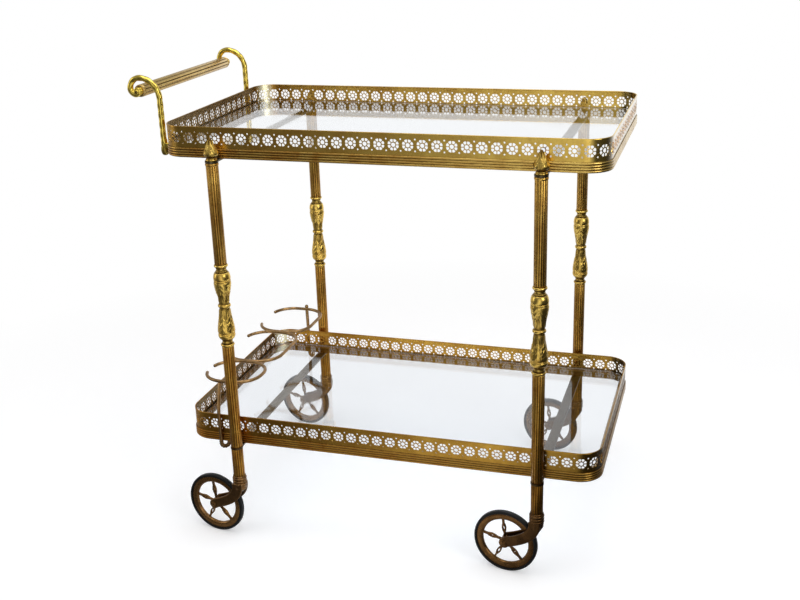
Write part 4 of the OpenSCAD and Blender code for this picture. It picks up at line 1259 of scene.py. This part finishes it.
def buildFork(leg):
    node = "fork_" + leg
    top = nodeBox(node)[1].z
    neck = caster["neckRadius"]
    crownZ = top - caster["neckLength"]
    # the crown, the ringed neck and the dish at its top
    outline = [(onAxis, crownZ), (neck - 2.5, crownZ), (neck - 0.8, crownZ + 0.8), (neck, crownZ + 2.5)]
    outline.append((neck, top - 17.4))
    for i in range(caster["ribs"], 0, -1):
        ribZ = top - caster["ribStep"] * i
        outline += bead(neck, ribZ - caster["ribHalf"], ribZ + caster["ribHalf"], caster["ribRise"], 8)
    outline += [(neck, top - 1.2), (neck - 0.4, top - 0.2), (neck - 0.8, top), (neck - 0.8, top - 3)]
    outline.append((onAxis, top - 3))
    bm = lathe(outline, 48)
    for side in (-1, 1):
        buildCheek(bm, side, crownZ)
    bmesh.ops.transform(bm, matrix=casterPlace(leg), verts=bm.verts)
    makePiece(bm, node + "_cast", "caster_" + leg, "caster_brass", (node,), sharpAngle=45)


def buildAxle(leg):
    node = "axle_" + leg
    half = caster["cheekIn"] + caster["cheekThickness"] + caster["axleProud"]
    radius = caster["axleRadius"]
    dome = [(radius, half - 1.3)] + eased((radius, half - 1.2), (2.6, half - 0.15), 6, 1.4)
    dome += [(1.3, half), (onAxis, half)]
    shaft = [(radius, -half + 1.4), (2.5, -half + 1.4), (2.5, half - 1.4)]
    bm = lathe(mirrored(dome) + shaft + dome, 28, grimy=False)
    bmesh.ops.transform(bm, matrix=wheelPlace(leg), verts=bm.verts)
    makePiece(bm, node + "_domed", "caster_" + leg, "caster_brass", (node,))


def spokeLoops(hubRadius, rimRadius):
    # a spoke with a slotted lozenge in its middle
    half, wide = wheel["spokeWidth"] / 2, wheel["lozengeWidth"] / 2
    middle, reach = (hubRadius + rimRadius) / 2, (rimRadius - hubRadius) * wheel["lozengeReach"]
    shoulder, shoulderWide = reach * wheel["shoulderReach"], wide * wheel["shoulderWidth"]
    side = [(hubRadius - 1, half), (middle - reach, half), (middle - shoulder, shoulderWide), (middle, wide),
            (middle + shoulder, shoulderWide), (middle + reach, half), (rimRadius + 1.2, half)]
    slotReach, slotWide = reach * wheel["slotReach"], wide * wheel["slotWidth"]
    slot = [(middle - slotReach, 0), (middle, slotWide), (middle + slotReach, 0), (middle, -slotWide)]
    return [side + mirrored(side), slot]


def buildWheel(leg):
    node = "wheel_" + leg
    thickness, width = wheel["rimThickness"], wheel["rimWidth"]
    rimOut = wheel["radius"] - wheel["tyreThickness"]
    rimIn = rimOut - thickness
    side = [(rimIn + along * thickness, across * width) for along, across in wheel["rimSide"]]
    side.append((rimOut, width * wheel["rimSeat"]))
    bm = lathe(side + mirrored(side), wheel["turns"], closed=True, grimy=False)
    # the hub, swelling between two end beads
    hub, half = wheel["hubRadius"], caster["cheekIn"] - wheel["hubGap"]
    end = [(wheel["bore"], -half), (hub - 2.6, -half)] + bead(hub - 2.2, -half + 0.3, -half + 2.4, 0.8)
    outline = end + eased((hub - 1.8, -half + 2.6), (hub, -1.8), 4) + [(hub, 1.8)]
    outline += eased((hub, 1.8), (hub - 1.8, half - 2.6), 4) + mirrored(end)
    addPart(bm, lathe(outline, 40, closed=True, grimy=False))
    for i in range(wheel["spokes"]):
        spoke = newMesh()
        plate(spoke, spokeLoops(hub, rimIn), wheel["spokeThickness"])
        bevelEdges(spoke, sharpEdges(spoke), wheel["spokeBevel"], 2)
        turn = math.radians(wheel["firstSpoke"] + i * 360 / wheel["spokes"])
        lift = Matrix.Translation((0, 0, -wheel["spokeThickness"] / 2))
        addPart(bm, spoke, Matrix.Rotation(turn, 4, "Z") @ lift)
    bmesh.ops.transform(bm, matrix=wheelPlace(leg), verts=bm.verts)
    makePiece(bm, node + "_spoked", "rolling_wheel_" + leg, "caster_brass", (node,), sharpAngle=45)


def buildTyre(leg):
    node = "tyre_" + leg
    outer, side, shoulder = wheel["radius"], wheel["tyreWidth"] / 2 - 0.1, wheel["tyreShoulder"]
    inner = outer - wheel["tyreThickness"] + wheel["tyreFit"]
    outline = [(inner, side - 0.4), (inner + 0.4, side), (outer - shoulder - 0.6, side)]
    outline += [(outer - shoulder + shoulder * math.sin(a), side - shoulder + shoulder * math.cos(a))
                for a in (math.pi / 2 * i / 5 for i in range(1, 6))]
    bm = lathe(outline + [(outer, 0.0)] + mirrored(outline), wheel["turns"], closed=True, grimy=False)
    bmesh.ops.transform(bm, matrix=wheelPlace(leg), verts=bm.verts)
    makePiece(bm, node + "_moulded", "rolling_wheel_" + leg, "tyre_rubber", (node,), sharpAngle=50)


for leg in legNames:
    buildFork(leg)
    buildAxle(leg)
    buildWheel(leg)
    buildTyre(leg)
print("casters made")


# pieces that stay as packed only need their finish

asPacked = {"tie_rods": "steel", "caster_stems": "steel"}
for tier in ("upper", "lower"):
    for end in ("left", "right"):
        asPacked[tier + "_strap_" + end] = "strap_brass"
for node, slotName in asPacked.items():
    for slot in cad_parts[node].material_slots:
        slot.material = finishes[slotName]


# studio

studio = {
    "floorSize": 9.0, "floorColour": (0.80, 0.80, 0.81, 1.0), "floorLift": 0.30,
    "fadeStart": 0.55, "fadeEnd": 1.4,  # metres over which the paper fades to white
    "mirrorFadeStart": 0.2, "mirrorFadeEnd": 0.45,  # the same for the floor that the metal mirrors
    # how much of the room's brightness that floor has beside the trolley, and over which metres it grows to 1
    "mirrorNear": 0.8, "mirrorFrom": 0.5, "mirrorTo": 2.6,
    "ambient": 0.5,
    "room": (
        # what the metal mirrors: the brightness of the room all round, from -X over the front and the right
        (0.0, 0.42), (0.1, 0.16), (0.17, 0.08), (0.21, 0.32), (0.25, 0.8), (0.285, 1.15), (0.325, 0.5),
        (0.37, 0.04), (0.54, 0.04), (0.6, 0.3), (0.65, 0.9), (0.71, 1.1), (0.84, 1.0), (0.93, 0.6),
        (1.0, 0.42),
    ),
    "ceiling": 0.42, "ceilingFrom": 0.15, "ceilingTo": 0.6,
    "lamps": (
        # name, place, aimed at, width, height, power
        ("top", (0.1, -0.2, 2.5), (0.0, 0.0, 0.3), 2.2, 1.5, 26),
        ("right", (2.1, -1.5, 1.5), (0.0, 0.0, 0.45), 1.2, 1.6, 17),
        ("left", (-2.3, -0.9, 1.1), (0.0, 0.0, 0.5), 0.8, 1.6, 6),
    ),
}


def buildRoom():
    # brightness of the mirrored room for a place or a direction
    tree = bpy.data.node_groups.new("room", "ShaderNodeTree")
    tree.interface.new_socket("Toward", in_out="INPUT", socket_type="NodeSocketVector")
    tree.interface.new_socket("Level", in_out="OUTPUT", socket_type="NodeSocketFloat")
    toward = tree.nodes.new("NodeGroupInput").outputs[0]
    x, y, _ = addNode(tree, "ShaderNodeSeparateXYZ", inputs={"Vector": toward}).outputs
    angle = mathNode(tree, "ARCTAN2", y, x)
    level = 0.0
    for (low, first), (high, second) in zip(studio["room"], studio["room"][1:]):
        # each stretch adds the change between two neighbours of the list
        step = stretch(tree, angle, math.tau * (low - 0.5), math.tau * (high - 0.5), 0.0, second - first)
        level = mathNode(tree, "ADD", step, level if low > 0 else first)
    tree.links.new(level, tree.nodes.new("NodeGroupOutput").inputs[0])
    return tree


def seenRays(tree):
    # 1 for what the camera sees, also through glass; and the kinds of ray
    rays = addNode(tree, "ShaderNodeLightPath").outputs
    return mathNode(tree, "MAXIMUM", rays["Is Camera Ray"], rays["Is Transmission Ray"]), rays


def buildFloor(room):
    # white paper that takes the shadow, fades to white, and mirrors the room's brightness in the metal
    bm = bmesh.new()
    bmesh.ops.create_grid(bm, x_segments=2, y_segments=2, size=studio["floorSize"])
    mesh = bpy.data.meshes.new("floor")
    bm.to_mesh(mesh)
    bm.free()
    floor = bpy.data.objects.new("floor", mesh)
    bpy.context.scene.collection.objects.link(floor)
    material, tree, output = newMaterial("paper")
    place = addNode(tree, "ShaderNodeTexCoord").outputs["Object"]
    distance = addNode(tree, "ShaderNodeVectorMath", {"operation": "LENGTH"}, {0: place}).outputs["Value"]
    seen, rays = seenRays(tree)
    inMetal = mathNode(tree, "SUBTRACT", rays["Is Glossy Ray"], rays["Is Transmission Ray"], clamp=True)
    paper = addNode(tree, "ShaderNodeBsdfDiffuse", inputs={"Color": studio["floorColour"]})
    lift = addNode(tree, "ShaderNodeEmission", inputs={
        "Color": white, "Strength": mathNode(tree, "MULTIPLY", seen, studio["floorLift"])})
    near = addNode(tree, "ShaderNodeAddShader", inputs={0: paper.outputs[0], 1: lift.outputs[0]})
    around = addNode(tree, "ShaderNodeGroup", {"node_tree": room}, {"Toward": place}).outputs[0]
    farther = stretch(tree, distance, studio["mirrorFrom"], studio["mirrorTo"], studio["mirrorNear"], 1.0)
    level = mixValue(tree, inMetal, 1.0, mathNode(tree, "MULTIPLY", around, farther))
    far = addNode(tree, "ShaderNodeEmission", inputs={"Color": white, "Strength": level})
    seenFar = stretch(tree, distance, studio["fadeStart"], studio["fadeEnd"])
    seenFar = mathNode(tree, "MULTIPLY", seen, seenFar)
    mirrorFar = stretch(tree, distance, studio["mirrorFadeStart"], studio["mirrorFadeEnd"])
    share = mathNode(tree, "MAXIMUM", seenFar, mathNode(tree, "MULTIPLY", inMetal, mirrorFar))
    mixed = addNode(tree, "ShaderNodeMixShader", inputs={0: share, 1: near.outputs[0], 2: far.outputs[0]})
    tree.links.new(mixed.outputs[0], output.inputs["Surface"])
    mesh.materials.append(material)


def buildWorld(room):
    # white to the camera, the room to what mirrors it, and even light for the rest
    world = bpy.data.worlds.new("studio")
    bpy.context.scene.world = world
    world.use_nodes = True
    tree = world.node_tree
    tree.nodes.clear()
    direction = addNode(tree, "ShaderNodeTexCoord").outputs["Generated"]
    height = addNode(tree, "ShaderNodeSeparateXYZ", inputs={"Vector": direction}).outputs["Z"]
    around = addNode(tree, "ShaderNodeGroup", {"node_tree": room}, {"Toward": direction}).outputs[0]
    overhead = stretch(tree, height, studio["ceilingFrom"], studio["ceilingTo"])
    mirror = mixValue(tree, overhead, around, studio["ceiling"])
    seen, rays = seenRays(tree)
    ambient = mixValue(tree, rays["Is Glossy Ray"], studio["ambient"], mirror)
    strength = mixValue(tree, seen, ambient, 1.0)
    background = addNode(tree, "ShaderNodeBackground", inputs={"Color": white, "Strength": strength})
    output = tree.nodes.new("ShaderNodeOutputWorld")
    tree.links.new(background.outputs[0], output.inputs["Surface"])


def buildLamps():
    for name, place, aim, width, height, power in studio["lamps"]:
        data = bpy.data.lights.new(name, "AREA")
        data.shape = "RECTANGLE"
        data.size, data.size_y = width, height
        data.energy = power
        lamp = bpy.data.objects.new(name, data)
        back = (Vector(place) - Vector(aim)).normalized()
        side = upward.cross(back).normalized()
        lamp.matrix_world = frameAt(Vector(place), side, back.cross(side))
        bpy.context.scene.collection.objects.link(lamp)


shot = {"place": (0.555580, -1.74723, 1.04380), "azimuth": 17.4368, "elevation": 20.0235, "roll": -1.80536,
        "lens": 50.4175, "sensor": 36.0, "clipStart": 0.05}


def buildCamera():
    azimuth, elevation, roll = (math.radians(shot[key]) for key in ("azimuth", "elevation", "roll"))
    back = Vector((math.sin(azimuth) * math.cos(elevation), -math.cos(azimuth) * math.cos(elevation),
                   math.sin(elevation)))
    right = Vector((math.cos(azimuth), math.sin(azimuth), 0))
    up = back.cross(right)
    side = right * math.cos(roll) + up * math.sin(roll)
    data = bpy.data.cameras.new("camera")
    data.lens, data.sensor_width = shot["lens"], shot["sensor"]
    data.clip_start = shot["clipStart"]
    camera = bpy.data.objects.new("camera", data)
    camera.matrix_world = frameAt(Vector(shot["place"]), side, back.cross(side))
    bpy.context.scene.collection.objects.link(camera)
    bpy.context.scene.camera = camera


room = buildRoom()
buildFloor(room)
buildWorld(room)
buildLamps()
buildCamera()
bpy.context.scene.view_settings.view_transform = "Standard"
print("studio made")
